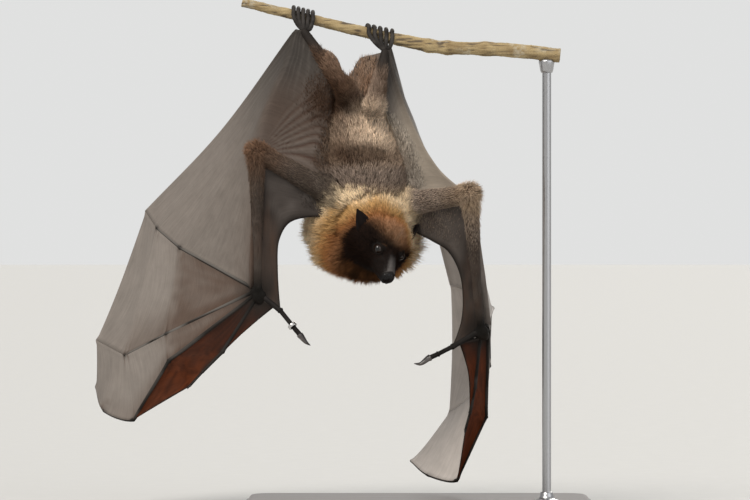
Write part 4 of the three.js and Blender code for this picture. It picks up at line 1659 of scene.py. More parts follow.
# ---------------------------------------------------------------- node trees
class Tree:
    """A node tree, with short ways to add to it."""

    def __init__(self, tree: bpy.types.NodeTree) -> None:
        """Takes the tree to work on."""
        self.tree = tree

    def add(self, kind: str, inputs: dict | None = None, **settings: object) -> bpy.types.Node:
        """Adds a node.

        Args:
            kind: the node's type name.
            inputs: what each input gets, by name or place: a value or another node's output.
            settings: the node's own properties.

        Returns:
            The node.
        """
        node = self.tree.nodes.new(kind)
        for key, value in settings.items():
            setattr(node, key, value)
        self.fill(node, inputs or {})
        return node

    def fill(self, node: bpy.types.Node, inputs: dict) -> None:
        """Gives a node's inputs their values or links, by name or place."""
        for key, value in inputs.items():
            self.feed(node.inputs[key], value)

    def feed(self, socket: bpy.types.NodeSocket, value: object) -> None:
        """Links an output to the socket, or sets the socket's value.

        Args:
            socket: the input.
            value: another node's output, or a value.
        """
        if isinstance(value, bpy.types.NodeSocket):
            self.tree.links.new(value, socket)
        else:
            socket.default_value = value

    def math(self, operation: str, *values: object) -> bpy.types.NodeSocket:
        """A number worked out from others."""
        node = self.add("ShaderNodeMath", dict(enumerate(values)), operation=operation)
        return node.outputs[0]

    def vector(self, operation: str, *values: object) -> bpy.types.NodeSocket:
        """A vector worked out from others.

        Args:
            operation: the node's operation.
            values: its inputs, in order.

        Returns:
            The output that the operation fills.
        """
        node = self.add("ShaderNodeVectorMath", operation=operation)
        for socket, value in zip(node.inputs, values):
            self.feed(socket, value)
        return node.outputs["Value" if operation in ("DOT_PRODUCT", "LENGTH", "DISTANCE") else 0]

    def fitted(self, value: object, *ends: float) -> bpy.types.NodeSocket:
        """A number carried from one range to another: from low, from high, to low, to high."""
        return self.add("ShaderNodeMapRange", dict(enumerate((value, *ends)))).outputs[0]

    def scaled(self, vector: object, factor: object) -> bpy.types.NodeSocket:
        """A vector times a number.

        Args:
            vector: the vector.
            factor: the number.

        Returns:
            The product.
        """
        node = self.add("ShaderNodeVectorMath", {"Scale": factor}, operation="SCALE")
        self.feed(node.inputs[0], vector)
        return node.outputs[0]


def opened(group: bpy.types.NodeTree, sockets: Sequence, result: tuple[str, str]) -> dict[str, str]:
    """Gives a node group its sockets.

    Args:
        group: the group.
        sockets: each input's name, kind and value, or None to leave the value.
        result: its one output's name and kind.

    Returns:
        The inputs' identifiers, by name.
    """
    keys = {}
    for name, kind, value in sockets:
        socket = group.interface.new_socket(name, in_out="INPUT", socket_type=f"NodeSocket{kind}")
        if value is not None:
            socket.default_value = value
        keys[name] = socket.identifier
    name, kind = result
    group.interface.new_socket(name, in_out="OUTPUT", socket_type=f"NodeSocket{kind}")
    return keys


class Grower:
    """A node tree that grows a piece on a surface."""

    name: str
    surface: str
    sockets: tuple

    def __init__(self) -> None:
        """Builds the node tree that every piece of the kind shares."""
        self.group = bpy.data.node_groups.new(self.name, "GeometryNodeTree")
        sockets = ((self.surface, "Geometry", None), *self.sockets)
        self.keys = opened(self.group, sockets, ("Piece", "Geometry"))
        self.wire(Tree(self.group))

    def wire(self, tree: Tree) -> None:
        """Wires the tree from its surface to the finished piece."""
        raise NotImplementedError

    def finish(self, tree: Tree, shape: object, material: object) -> None:
        """Dresses the shape, and ends the tree with it."""
        dressed = tree.add("GeometryNodeSetMaterial", {"Geometry": shape, "Material": material})
        tree.add("NodeGroupOutput", {0: dressed.outputs[0]})

    def grow(self, name: str, surface: bpy.types.Object, **sizes: object) -> bpy.types.Object:
        """Grows a piece on a surface.

        Args:
            name: the new piece's name.
            surface: what it grows on, which is left as it was.
            sizes: the tree's inputs, spaces written as underscores.

        Returns:
            The piece as a plain mesh.
        """
        grower = surface.modifiers.new(self.name, "NODES")
        grower.node_group = self.group
        for key, value in sizes.items():
            grower[self.keys[key.replace("_", " ")]] = value
        mesh = settled(surface)
        surface.modifiers.remove(grower)
        mesh.name = name
        return linked(name, mesh)


class Coats(Grower):
    """Grows tufts on a patch of skin."""

    name = "tufts"
    surface = "Skin"
    sockets = (
        ("Density", "Float", 1e6), ("Width", "Float", 0.0005), ("Jitter", "Float", 0.1),
        ("Clump", "Float", 0.2), ("Clump Size", "Float", 200.0), ("Bend", "Float", 2.0),
        ("Grizzle", "Float", 0.3), ("Segments", "Int", 2), ("Seed", "Int", 1),
        ("Finish", "Material", None),
    )

    @staticmethod
    def named(tree: Tree, name: str, kind: str = "FLOAT") -> bpy.types.NodeSocket:
        """A value that the mesh carries."""
        node = tree.add("GeometryNodeInputNamedAttribute", {"Name": name}, data_type=kind)
        return node.outputs["Attribute"]

    @staticmethod
    def keep(tree: Tree, shape: object, name: str, value: object, kind: str, domain: str) -> object:
        """Writes a value onto a shape under a name.

        Args:
            tree: the tree to add to.
            shape: the shape.
            name: the name it is kept under.
            value: the value.
            kind: its data type.
            domain: what it lies on.

        Returns:
            The shape with the value.
        """
        node = tree.add("GeometryNodeStoreNamedAttribute", {"Geometry": shape, "Name": name},
                        data_type=kind, domain=domain)
        tree.feed(node.inputs["Value"], value)
        return node.outputs[0]

    def strand(self, tree: Tree, given: bpy.types.Node) -> object:
        """One tuft: a closed spike along Z that swells, tapers and bends towards -X.

        Args:
            tree: the tree to add to.
            given: the node that hands out the tree's inputs.

        Returns:
            The spike.
        """
        cone = tree.add("GeometryNodeMeshCone", {
            "Vertices": 3, "Side Segments": given.outputs["Segments"], "Fill Segments": 1,
            "Radius Top": 0.0, "Radius Bottom": 1.0, "Depth": 1.0,
        }, fill_type="NGON")
        place = tree.add("ShaderNodeSeparateXYZ",
                         {0: tree.add("GeometryNodeInputPosition").outputs[0]})
        x, y, z = place.outputs
        swell = tree.math("MULTIPLY_ADD", z, 2.6, 0.6)
        bent = tree.math("MULTIPLY", tree.math("MULTIPLY", z, z), given.outputs["Bend"])
        new_x = tree.math("SUBTRACT", tree.math("MULTIPLY", x, swell), bent)
        spot = tree.add("ShaderNodeCombineXYZ",
                        {0: new_x, 1: tree.math("MULTIPLY", y, swell), 2: z})
        flat = tree.add("ShaderNodeCombineXYZ", {
            0: tree.math("MULTIPLY", y, 0.5 * TUFT_PATCH),
            1: tree.math("MULTIPLY", tree.math("SUBTRACT", z, 0.5), TUFT_PATCH),
        })
        shape = self.keep(tree, cone.outputs["Mesh"], "tip", z, "FLOAT", "POINT")
        shape = self.keep(tree, shape, "patch", flat.outputs[0], "FLOAT_VECTOR", "POINT")
        moved = tree.add("GeometryNodeSetPosition",
                         {"Geometry": shape, "Position": spot.outputs[0]})
        smooth = tree.add("GeometryNodeSetShadeSmooth", {0: moved.outputs[0]})
        return smooth.outputs[0]

    def wire(self, tree: Tree) -> None:
        """Wires the tree from the skin to the finished coat.

        Args:
            tree: the tree to fill.
        """
        given = tree.add("NodeGroupInput")
        seed = given.outputs["Seed"]
        thick = tree.math("MULTIPLY", self.named(tree, "mask"), given.outputs["Density"])
        spread = tree.add("GeometryNodeDistributePointsOnFaces", {
            "Mesh": given.outputs["Skin"], "Density": thick, "Seed": seed,
        }, distribute_method="RANDOM")
        chance = lambda low, high, step: tree.add("FunctionNodeRandomValue", {
            2: low, 3: high, "Seed": tree.math("ADD", seed, float(step)),
        }, data_type="FLOAT").outputs[1]
        around = tree.add("FunctionNodeRandomValue", {
            0: (-1.0,) * 3, 1: (1.0,) * 3, "Seed": seed,
        }, data_type="FLOAT_VECTOR").outputs[0]
        wind = tree.add("ShaderNodeTexNoise", {"Scale": given.outputs["Clump Size"], "Detail": 1.5})
        drift = tree.vector("SUBTRACT", wind.outputs["Color"], (0.5,) * 3)
        lift = self.named(tree, "lift")
        lie = tree.scaled(self.named(tree, "lie", "FLOAT_VECTOR"), tree.math("SUBTRACT", 1.0, lift))
        normal = spread.outputs["Normal"]
        lean = tree.vector("ADD", lie, tree.scaled(normal, lift))
        lean = tree.vector("ADD", lean, tree.scaled(around, given.outputs["Jitter"]))
        lean = tree.vector("ADD", lean, tree.scaled(drift, given.outputs["Clump"]))
        turn = tree.add("FunctionNodeAxesToRotation", {
            "Primary Axis": lean, "Secondary Axis": normal,
        }, primary_axis="Z", secondary_axis="X")
        shade = tree.math("ADD", 1.0,
                          tree.math("MULTIPLY", chance(-1.0, 1.0, 7), given.outputs["Grizzle"]))
        points = self.keep(tree, spread.outputs["Points"], "shade", shade, "FLOAT", "POINT")
        points = self.keep(tree, points, "stand", normal, "FLOAT_VECTOR", "POINT")
        width = tree.math("MULTIPLY", given.outputs["Width"], chance(0.65, 1.3, 3))
        size = tree.add("ShaderNodeCombineXYZ", {
            0: tree.math("MULTIPLY", width, 0.55), 1: width,
            2: tree.math("MULTIPLY", self.named(tree, "size"), chance(0.62, 1.25, 5)),
        })
        grown = tree.add("GeometryNodeInstanceOnPoints", {
            "Points": points, "Instance": self.strand(tree, given),
            "Rotation": turn.outputs[0], "Scale": size.outputs[0],
        })
        coat = tree.add("GeometryNodeRealizeInstances", {0: grown.outputs[0]}).outputs[0]
        root = tree.vector("ADD", self.named(tree, "root", "FLOAT_VECTOR"),
                           self.named(tree, "patch", "FLOAT_VECTOR"))
        coat = self.keep(tree, coat, "OFBake", root, "FLOAT2", "CORNER")
        for name in ("mask", "lift", "lie", "size", "root", "patch"):
            coat = tree.add("GeometryNodeRemoveAttribute", {0: coat, "Name": name}).outputs[0]
        self.finish(tree, coat, given.outputs["Finish"])


# ---------------------------------------------------------------- finishes
def new_material(name: str) -> tuple[bpy.types.Material, Tree, bpy.types.Node]:
    """A material with its tree and its one shader.

    Args:
        name: the material's name.

    Returns:
        The material, its tree and its shader.
    """
    material = bpy.data.materials.new(name)
    material.use_nodes = True
    shader = material.node_tree.nodes["Principled BSDF"]
    return material, Tree(material.node_tree), shader


class Effects(Enum):
    """The shader groups that several finishes share."""

    GRAIN = "grain"
    STRANDS = "strands"


@dataclass
class Shared:
    """Shader groups for fine relief, built once."""

    groups: dict = field(default_factory=dict)

    def group(self, effect: Effects) -> bpy.types.ShaderNodeTree:
        """The group of an effect.

        Args:
            effect: lumps that are alike every way, or lines drawn out along Y.

        Returns:
            A group that turns a place, a size and a stretch into a value from 0 to 1.
        """
        if effect not in self.groups:
            group = bpy.data.node_groups.new(effect.value, "ShaderNodeTree")
            opened(group, (("Place", "Vector", None), ("Fineness", "Float", 500.0),
                           ("Stretch", "Float", 0.05)), ("Value", "Float"))
            tree = Tree(group)
            given = tree.add("NodeGroupInput")
            stretch = given.outputs["Stretch"]
            long = stretch if effect is Effects.STRANDS else 1.0
            ratio = tree.add("ShaderNodeCombineXYZ", {0: 1.0, 1: long, 2: 1.0})
            place = tree.vector("MULTIPLY", given.outputs["Place"], ratio.outputs[0])
            noise = tree.add("ShaderNodeTexNoise", {
                "Vector": place, "Scale": given.outputs["Fineness"], "Detail": 3.0,
                "Roughness": 0.6,
            })
            tree.add("NodeGroupOutput", {0: noise.outputs["Fac"]})
            self.groups[effect] = group
        return self.groups[effect]

    def place(self, tree: Tree, effect: Effects, where: object, fineness: float,
              stretch: float = 0.05) -> bpy.types.NodeSocket:
        """Places an effect's group in a material.

        Args:
            tree: the material's tree.
            effect: which group.
            where: the coordinates that it reads.
            fineness: lumps to a metre.
            stretch: how far the lines are drawn out.

        Returns:
            The value that it puts out.
        """
        inputs = {"Place": where, "Fineness": fineness, "Stretch": stretch}
        return tree.add("ShaderNodeGroup", inputs, node_tree=self.group(effect)).outputs["Value"]


SHARED = Shared()


def carried(tree: Tree, name: str, output: str = "Color") -> bpy.types.NodeSocket:
    """A value that the piece's mesh carries, in a material."""
    return tree.add("ShaderNodeAttribute", attribute_name=name).outputs[output]


def object_place(tree: Tree) -> bpy.types.NodeSocket:
    """The place on the piece, in metres."""
    return tree.add("ShaderNodeTexCoord").outputs["Object"]


@dataclass(frozen=True)
class SkinFinish:
    """Bare skin and wing skin, with striations, pores and a wet nose."""

    rough: float = 0.60
    nose: tuple = tuple((HEAD_MIDDLE + 29 * MUZZLE - 4 * CROWN) * MM)

    def material(self) -> bpy.types.Material:
        """The finished material.

        Returns:
            The material.
        """
        material, tree, shader = new_material("skin")
        place = object_place(tree)
        uv = tree.add("ShaderNodeUVMap", uv_map="Grain").outputs[0]
        lines = SHARED.place(tree, Effects.STRANDS, uv, 900.0, 0.045)
        veins = SHARED.place(tree, Effects.STRANDS, uv, 330.0, 0.10)
        pores = SHARED.place(tree, Effects.GRAIN, place, 1300.0)
        mottle = SHARED.place(tree, Effects.GRAIN, place, 90.0)
        tint = tree.math("ADD", tree.math("MULTIPLY", lines, 0.62),
                         tree.math("MULTIPLY", veins, 0.38))
        tint = tree.math("ADD", tint,
                         tree.math("MULTIPLY", tree.math("SUBTRACT", mottle, 0.5), 0.35))
        factor = tree.fitted(tint, 0.25, 0.75, 0.82, 1.2)
        away = tree.vector("DISTANCE", place, self.nose)
        rough = tree.fitted(away, 0.004, 0.008, 0.24, self.rough)
        spread = tree.math("MULTIPLY", tree.math("SUBTRACT", pores, 0.5), 0.16)
        height = tree.math("ADD", tree.math("MULTIPLY", lines, 1.0),
                           tree.math("MULTIPLY", pores, 0.45))
        bump = tree.add("ShaderNodeBump", {"Strength": 0.5, "Distance": 0.00022, "Height": height})
        tree.fill(shader, {
            "Base Color": tree.scaled(carried(tree, "tone"), factor),
            "Roughness": tree.math("ADD", rough, spread), "Normal": bump.outputs[0],
            "Coat Weight": tree.fitted(away, 0.004, 0.007, 0.35, 0.0), "Coat Roughness": 0.12,
            "Specular IOR Level": 0.10,
        })
        return material


@dataclass(frozen=True)
class CoatFinish:
    """Fur, dark at its roots and pale at its tips."""

    name: str = "fur"
    root: float = 0.70
    tip: float = 1.40
    rough: float = 0.62
    soft: float = 0.6  # how far the light falls as on the skin beneath

    def material(self) -> bpy.types.Material:
        """The finished material.

        Returns:
            The material.
        """
        material, tree, shader = new_material(self.name)
        along = tree.fitted(carried(tree, "tip", "Fac"), 0.0, 0.85, self.root, self.tip)
        lumps = SHARED.place(tree, Effects.GRAIN, object_place(tree), 260.0)
        factor = tree.math("MULTIPLY", along, carried(tree, "shade", "Fac"))
        factor = tree.math("MULTIPLY", factor, tree.fitted(lumps, 0.3, 0.7, 0.82, 1.18))
        own = tree.scaled(tree.add("ShaderNodeNewGeometry").outputs["Normal"], 1.0 - self.soft)
        facing = tree.vector("ADD", own, tree.scaled(carried(tree, "stand", "Vector"), self.soft))
        tree.fill(shader, {
            "Base Color": tree.scaled(carried(tree, "tone"), factor), "Roughness": self.rough,
            "Normal": tree.vector("NORMALIZE", facing), "Specular IOR Level": 0.07,
        })
        return material


@dataclass(frozen=True)
class TonedFinish:
    """A hard surface whose colour lies in its mesh, with fine relief."""

    name: str
    rough: float
    fineness: float = 700.0
    relief: float = 0.0001
    strength: float = 0.25
    metal: float = 0.0
    coat: float = 0.0
    uneven: float = 0.3
    stretch: float = 1.0

    def material(self) -> bpy.types.Material:
        """The finished material.

        Returns:
            The material.
        """
        material, tree, shader = new_material(self.name)
        effect = Effects.GRAIN if self.stretch == 1.0 else Effects.STRANDS
        turned = object_place(tree)
        if effect is Effects.STRANDS:
            turned = tree.add("ShaderNodeMapping", {
                "Vector": turned, "Rotation": (0.0, 0.0, math.pi / 2),
            }).outputs[0]
        lumps = SHARED.place(tree, effect, turned, self.fineness, self.stretch)
        factor = tree.fitted(lumps, 0.25, 0.75, 1 - self.uneven, 1 + self.uneven)
        rough = tree.fitted(lumps, 0.2, 0.8, self.rough * 0.8, min(self.rough * 1.2, 1.0))
        bump = tree.add("ShaderNodeBump", {
            "Strength": self.strength, "Distance": self.relief, "Height": lumps,
        })
        tree.fill(shader, {
            "Base Color": tree.scaled(carried(tree, "tone"), factor), "Roughness": rough,
            "Normal": bump.outputs[0], "Metallic": self.metal, "Coat Weight": self.coat,
            "Coat Roughness": 0.03,
        })
        return material


# ---------------------------------------------------------------- where coats grow
class Ground:
    """Closed skins that can be asked how near a place is."""

    def __init__(self, bodies: Sequence[Body]) -> None:
        """Takes the skins.

        Args:
            bodies: closed skins.
        """
        whole = joined(bodies)
        faces = [*whole.quads.tolist(), *whole.tris.tolist()]
        self.tree = BVHTree.FromPolygons(whole.points.tolist(), faces)

    def near(self, places: Array) -> tuple[Array, Array]:
        """The nearest places of the skin, and the heights over it, negative inside.

        Args:
            places: places of any shape, with a last axis of three.

        Returns:
            The nearest places, and one height for each.
        """
        flat = places.reshape(-1, 3)
        spots, heights = np.empty_like(flat), np.empty(len(flat))
        for k, place in enumerate(flat.tolist()):
            spot, normal, _, away = self.tree.find_nearest(place)
            spots[k] = spot
            heights[k] = away if (Vector(place) - spot).dot(normal) >= 0 else -away
        return spots.reshape(places.shape), heights.reshape(places.shape[:-1])


WHOLE_CHART = (0.01, 0.01, 0.99, 0.99)  # left, low, right and high on the unwrapped skin
LEFT_CHART = (0.01, 0.01, 0.49, 0.99)
RIGHT_CHART = (0.51, 0.01, 0.99, 0.99)


@dataclass
class Patch:
    """A grid of places that a coat grows on, and what each place gives its tufts."""

    places: Array
    mask: Array
    size: Array
    lift: Array
    lie: Array
    tone: Array
    chart: tuple = WHOLE_CHART
    facing: Array | None = None  # the normals of an open sheet

    def part(self, low: int, high: int) -> "Patch":
        """The rows of the patch from low to high, with a chart of their own.

        Args:
            low: the first row.
            high: the last row.

        Returns:
            The part.
        """
        cut = slice(low, high + 1)
        return Patch(self.places[cut], self.mask[cut], self.size[cut], self.lift[cut],
                     self.lie[cut], self.tone[cut], self.chart, self.facing)


def emitter(patches: Sequence[Patch]) -> bpy.types.Object:
    """Patches as one open mesh that carries what the tufts need.

    Args:
        patches: the patches.

    Returns:
        The mesh's object.
    """
    quads, roots, start = [], [], 0
    for patch in patches:
        rows, columns, _ = patch.places.shape
        a = start + grid_starts(rows, columns)
        faces = np.stack([a, a + 1, a + columns + 1, a + columns], -1)
        facing = np.cross(np.gradient(patch.places, axis=1), np.gradient(patch.places, axis=0))
        outward = patch.facing
        if outward is None:
            outward = patch.places - patch.places.mean(1, keepdims=True)
        quads.append(faces if (facing * outward).sum() > 0 else faces[:, ::-1])
        left, low, right, high = patch.chart
        v, u = np.meshgrid(np.linspace(low, high, rows), np.linspace(left, right, columns),
                           indexing="ij")
        roots.append(np.stack([u, v, 0 * u], -1).reshape(-1, 3))
        start += rows * columns
    for patch in patches:
        patch.mask = patch.mask * ramp(patch.mask, 0.08, 0.3)
    flat = lambda name: np.concatenate([getattr(p, name).reshape(-1) for p in patches])
    rows_of = lambda name: np.vstack([getattr(p, name).reshape(-1, 3) for p in patches])
    body = Body(rows_of("places"), np.vstack(quads), NO_TRIS, rows_of("tone"))
    thing = make_object("patch", body)
    for name, values, key, kind in (
        ("mask", flat("mask"), "value", "FLOAT"), ("size", flat("size") * MM, "value", "FLOAT"),
        ("lift", flat("lift"), "value", "FLOAT"), ("lie", rows_of("lie"), "vector", "FLOAT_VECTOR"),
        ("root", np.vstack(roots), "vector", "FLOAT_VECTOR"),
    ):
        layer = thing.data.attributes.new(name, kind, "POINT")
        layer.data.foreach_set(key, np.ascontiguousarray(values, np.float32).ravel())
    return thing


def closed_grid(hoops: Array) -> Array:
    """Hoops with their first place said again at the end."""
    return np.concatenate([hoops, hoops[:, :1]], axis=1)


def along_skin(ways: Array, places: Array) -> Array:
    """Directions laid flat on a grid of places."""
    return laid_flat(ways, grid_normals(places))


@dataclass
class CoatPlan:
    """One piece of coat: its patches, its finish and its tufts."""

    name: str
    slot: str
    patches: list
    density: float  # tufts to a square millimetre
    width: float  # half width of a tuft's foot, in millimetres
    jitter: float = 0.16
    clump: float = 0.5
    clump_size: float = 160.0
    bend: float = 2.0
    grizzle: float = 0.32
    segments: int = 2


@dataclass
class Pelt:
    """The coat of the whole animal, laid out over its skin."""

    flesh: Flesh
    head: Head
    wings: list
    body: Body
    skull: Body

    def __post_init__(self) -> None:
        """Makes the skins ready to be asked about."""
        self.on_body = Ground([self.body])
        self.on_head = Ground([self.skull])
        self.middle = in_head(-5.0, 0.0, -2.0)

    def settle(self, hoops: Array) -> tuple[Array, Array]:
        """Lays hoops on the skin.

        Args:
            hoops: hoops near the body's skin.

        Returns:
            A closed grid on the skin, and its mask: 0 where the hoops ran under other flesh.
        """
        grid = closed_grid(hoops)
        spots, heights = self.on_body.near(grid)
        _, over = self.on_head.near(spots)
        return spots, ramp(heights, -1.7, -0.8) * ramp(over, -0.3, 0.6)

    def trunk(self) -> list[CoatPlan]:
        """The coat of back and belly, in three pieces.

        Returns:
            The plans of its pieces.
        """
        places, mask = self.settle(level_hoops(TRUNK, self.flesh.trunk_depth, 90, 120))
        lie = along_skin(np.broadcast_to([0.0, -0.05, 1.0], places.shape), places)
        size = 7.5 + 3.0 * cloud(places, 12, 101)
        lift = 0.14 + 0.26 * cloud(places, 7, 102)
        whole = Patch(places, mask, size, lift, lie, MARKS.trunk(places))
        cuts = (0, 34, 58, 89)
        return [CoatPlan(f"coat_back_{k + 1}", "back_fur", [whole.part(*cuts[k:k + 2])], 2.3, 0.23,
                         jitter=0.26, clump=0.8, clump_size=230.0, grizzle=0.42)
                for k in range(3)]

    def mane(self) -> list[CoatPlan]:
        """The long coat round the neck and shoulders, in five pieces.

        Returns:
            The plans of its pieces.
        """
        places, mask = self.settle(level_hoops(MANE, self.flesh.mane_depth, 120, 150))
        away = places - self.middle
        top = ramp(places[..., 2], 278, 292)[..., None]
        ways = unit(away) * (1 - top) + np.array([0.0, 0.0, 1.0]) * top
        lie = along_skin(ways, places)
        reach = np.linalg.norm(away, axis=-1)
        low = ramp(-places[..., 2], -232, -212)
        size = 8 + 6 * ramp(reach, 24, 44) - 3 * top[..., 0] + 3.0 * (cloud(places, 7, 103) - 0.5)
        size = size * (1 - 0.45 * low) + self.past_cheek(places)
        lift = (0.25 + 0.10 * ramp(reach, 26, 46) + 0.2 * (cloud(places, 6, 104) - 0.5)
                - 0.13 * top[..., 0])
        whole = Patch(places, mask, size, lift, lie, MARKS.mane(places))
        cuts = (0, 34, 62, 86, 119)
        pieces = [whole.part(*cuts[k:k + 2]) for k in range(4)]
        places, mask = self.settle(self.flesh.collar_hoops(60, 120))
        lie = along_skin(unit(places - self.middle) - MUZZLE * 0.6, places)
        along = of_head(places)[0]
        size = 7.5 + 2.5 * cloud(places, 7, 109) + 2.0 * ramp(-along, 18, 34)
        size = size * self.past_ears(places, 0.75) + 0.5 * self.past_cheek(places)
        lift = 0.32 + 0.25 * cloud(places, 5, 110)
        pieces.append(Patch(places, mask, size, lift, lie, MARKS.mane(places)))
        return [CoatPlan(f"coat_mane_{k + 1}", "mantle_fur", [piece], 3.2, 0.235,
                         jitter=0.21, clump=0.9, clump_size=190.0, bend=3.0, grizzle=0.38)
                for k, piece in enumerate(pieces)]

    @staticmethod
    def past_cheek(places: Array) -> Array:
        """How much longer the mane is on the left of the head, beside the ear."""
        x, z = places[..., 0], places[..., 2]
        return 6.0 * ramp(x, -20, -8) * ramp(z, 212, 228) * ramp(-z, -278, -264)

    def past_ears(self, places: Array, share: float) -> Array:
        """How much of its length a coat keeps, less by a share at the ears.

        Args:
            places: places, with a last axis of three.
            share: what a coat loses at an ear.

        Returns:
            One share for each place.
        """
        kept = np.ones(places.shape[:-1])
        for root, tip, _ in self.head.ears:
            for t in (0.2, 0.7, 1.2):
                away = far_from(places, in_head(*between(root, tip, t)))
                kept = np.minimum(kept, 1 - share * hump(away, 9.5))
        return kept

    def face(self) -> list[CoatPlan]:
        """The short coat of the head, in two pieces.

        Returns:
            The plans of its pieces.
        """
        places = closed_grid(self.head.hoops())
        along, out, up = of_head(places)
        _, over = self.on_body.near(places)
        mask = ramp(over, -0.6, 0.6) * (1 - ramp(along, 20, 26) * 0.6)
        mask = mask * (1 - ramp(along, 25.5, 27.5))
        for sign in (1, -1):
            mask = mask * ramp(far_from(places, eye_middle(sign)), 5.6, 7.0)
        bridge = (ramp(along, 10, 15) * ramp(up, -4.5, -2.0)
                  * (1 - ramp(np.abs(out - 0.8), 3.0, 5.5)))
        mask = mask * (1 - bridge * 0.9)
        back = np.broadcast_to(-MUZZLE, places.shape) + 0.35 * unit(places - self.middle)
        lie = along_skin(back, places)
        size = 1.1 + 2.6 * ramp(-along, -15, -2) + 4.0 * ramp(-along, -3, 10)
        size = (size + 3.0 * ramp(-up, 5, 12) * ramp(-along, -14, 2)
                + 1.5 * ramp(np.abs(out), 10, 17))
        lift = 0.22 + 0.2 * cloud(places, 4, 105) + 0.22 * ramp(-along, 0, 12)
        lift = lift + 0.2 * ramp(-up, 5, 12) * ramp(-along, -12, 2)
        size = size * self.past_ears(places, 0.85)
        whole = Patch(places, mask, size, lift, lie, MARKS.head(places) * 1.15)
        return [CoatPlan(f"coat_face_{k + 1}", "face_fur", [whole.part(*rows)], 3.6, 0.17,
                         jitter=0.24,
                         clump=0.6, clump_size=420.0, grizzle=0.45)
                for k, rows in enumerate(((0, 52), (52, 103)))]

    def limbs(self) -> list[CoatPlan]:
        """The coats of arms and legs, one piece for each side's arm and leg.

        Returns:
            The plans of its pieces.
        """
        plans = []
        for wing in self.wings:
            side, limbs = wing.side, self.flesh.limbs(wing)
            arm = [self.limb(wing, limbs["upper_arm"], LEFT_CHART, True),
                   self.limb(wing, limbs["forearm"], RIGHT_CHART, True)]
            leg = [self.limb(wing, limbs["thigh"], LEFT_CHART, False),
                   self.limb(wing, limbs["shin"], RIGHT_CHART, False)]
            plans.append(CoatPlan(side.named("coat_arm"), "arm_fur", arm, 2.3, 0.19, jitter=0.22))
            plans.append(CoatPlan(side.named("coat_leg"), "back_fur", leg, 2.2, 0.20, jitter=0.26))
        return plans

    def limb(self, wing: Wing, limb: tuple[Curve, Curve], chart: tuple, is_arm: bool) -> Patch:
        """The patch of one limb, with its rounded ends.

        Args:
            wing: the side that it is on.
            limb: its curve and radius.
            chart: its share of the unwrapped skin.
            is_arm: whether it is a part of the arm.

        Returns:
            The patch, its coat thinning out towards the hand or foot.
        """
        curve, radius = limb
        places, mask = self.settle(tube(curve, radius, 40, 40).points[:-2].reshape(-1, 40, 3))
        ahead = unit(np.gradient(curve(np.linspace(0, 1, 41)), axis=0))
        ahead = np.vstack([ahead[:1], ahead[:1], ahead[:1], ahead, ahead[-1:], ahead[-1:],
                           ahead[-1:]])
        lie = along_skin(np.broadcast_to(ahead[:, None], places.shape), places)
        side = wing.side
        if is_arm:
            elbow = far_from(places, side.elbow)
            body = far_from(places, side.shoulder)
            down = ramp(places[..., 2], side.elbow[2], side.wrist[2])
            hand = far_from(places, side.wrist)
            outward = unit(places - np.array(side.elbow)) * 0.7
            lie = unit(lie + outward * hump(elbow, 16)[..., None])
            near = ramp(-body, -28, -12)
            size = 3.2 + 3.2 * hump(elbow, 20) + 1.5 * cloud(places, 8, 106) - 1.4 * down
            size = size + 5.0 * near
            lie = unit(lie * (1 - near[..., None]) + unit(places - self.middle) * near[..., None])
            thick = 0.15 + 0.5 * hump(elbow, 36) + hump(body, 40)
            mask = mask * np.clip(thick, 0, 1) * ramp(hand, 30, 60)
            lift = 0.14 + 0.2 * hump(elbow, 18) + 0.12 * near
            return Patch(places, mask, size, lift, lie, MARKS.arm(places, side), chart)
        down = ramp(places[..., 2], side.knee[2], side.ankle[2])
        size = 6.5 - 4.0 * down + 1.5 * cloud(places, 8, 107)
        mask = mask * (1 - ramp(down, 0.45, 0.95) * 0.93)
        return Patch(places, mask, size, 0.25 + 0 * size, lie, MARKS.leg(places, side), chart)

    def sheets(self) -> list[CoatPlan]:
        """The coat that spreads from the body onto the wing skin, one piece for each side.

        Returns:
            The plans of its pieces.
        """
        plans = []
        for wing in self.wings:
            webs, patches = wing.webs(), []
            for name, thinned in (("wing_membrane", self.on_wing), ("leg_membrane", self.on_tail),
                                  ("fore_membrane", self.on_fore)):
                web = webs[name]
                thick, size, tone = thinned(wing, web)
                for sign in (1, -1):
                    places = web.face(sign)
                    _, over = self.on_body.near(places)
                    mask = thick * ramp(over, -0.5, 1.5)
                    ways = np.array([0.0, 0.0, 0.8]) + unit(places - self.middle) * 0.6
                    normal = web.normal * sign
                    lie = laid_flat(ways, normal)
                    k = len(patches)
                    left, low = (k % 3) / 3 + 0.01, (k // 3) / 2 + 0.01
                    patches.append(Patch(places, mask, size, 0.12 + 0 * size, lie, tone,
                                         (left, low, left + 0.31, low + 0.48), normal))
            plans.append(CoatPlan(wing.side.named("coat_sheet"), "back_fur", patches, 2.0, 0.18,
                                  jitter=0.28, clump=0.7, clump_size=260.0, grizzle=0.4))
        return plans

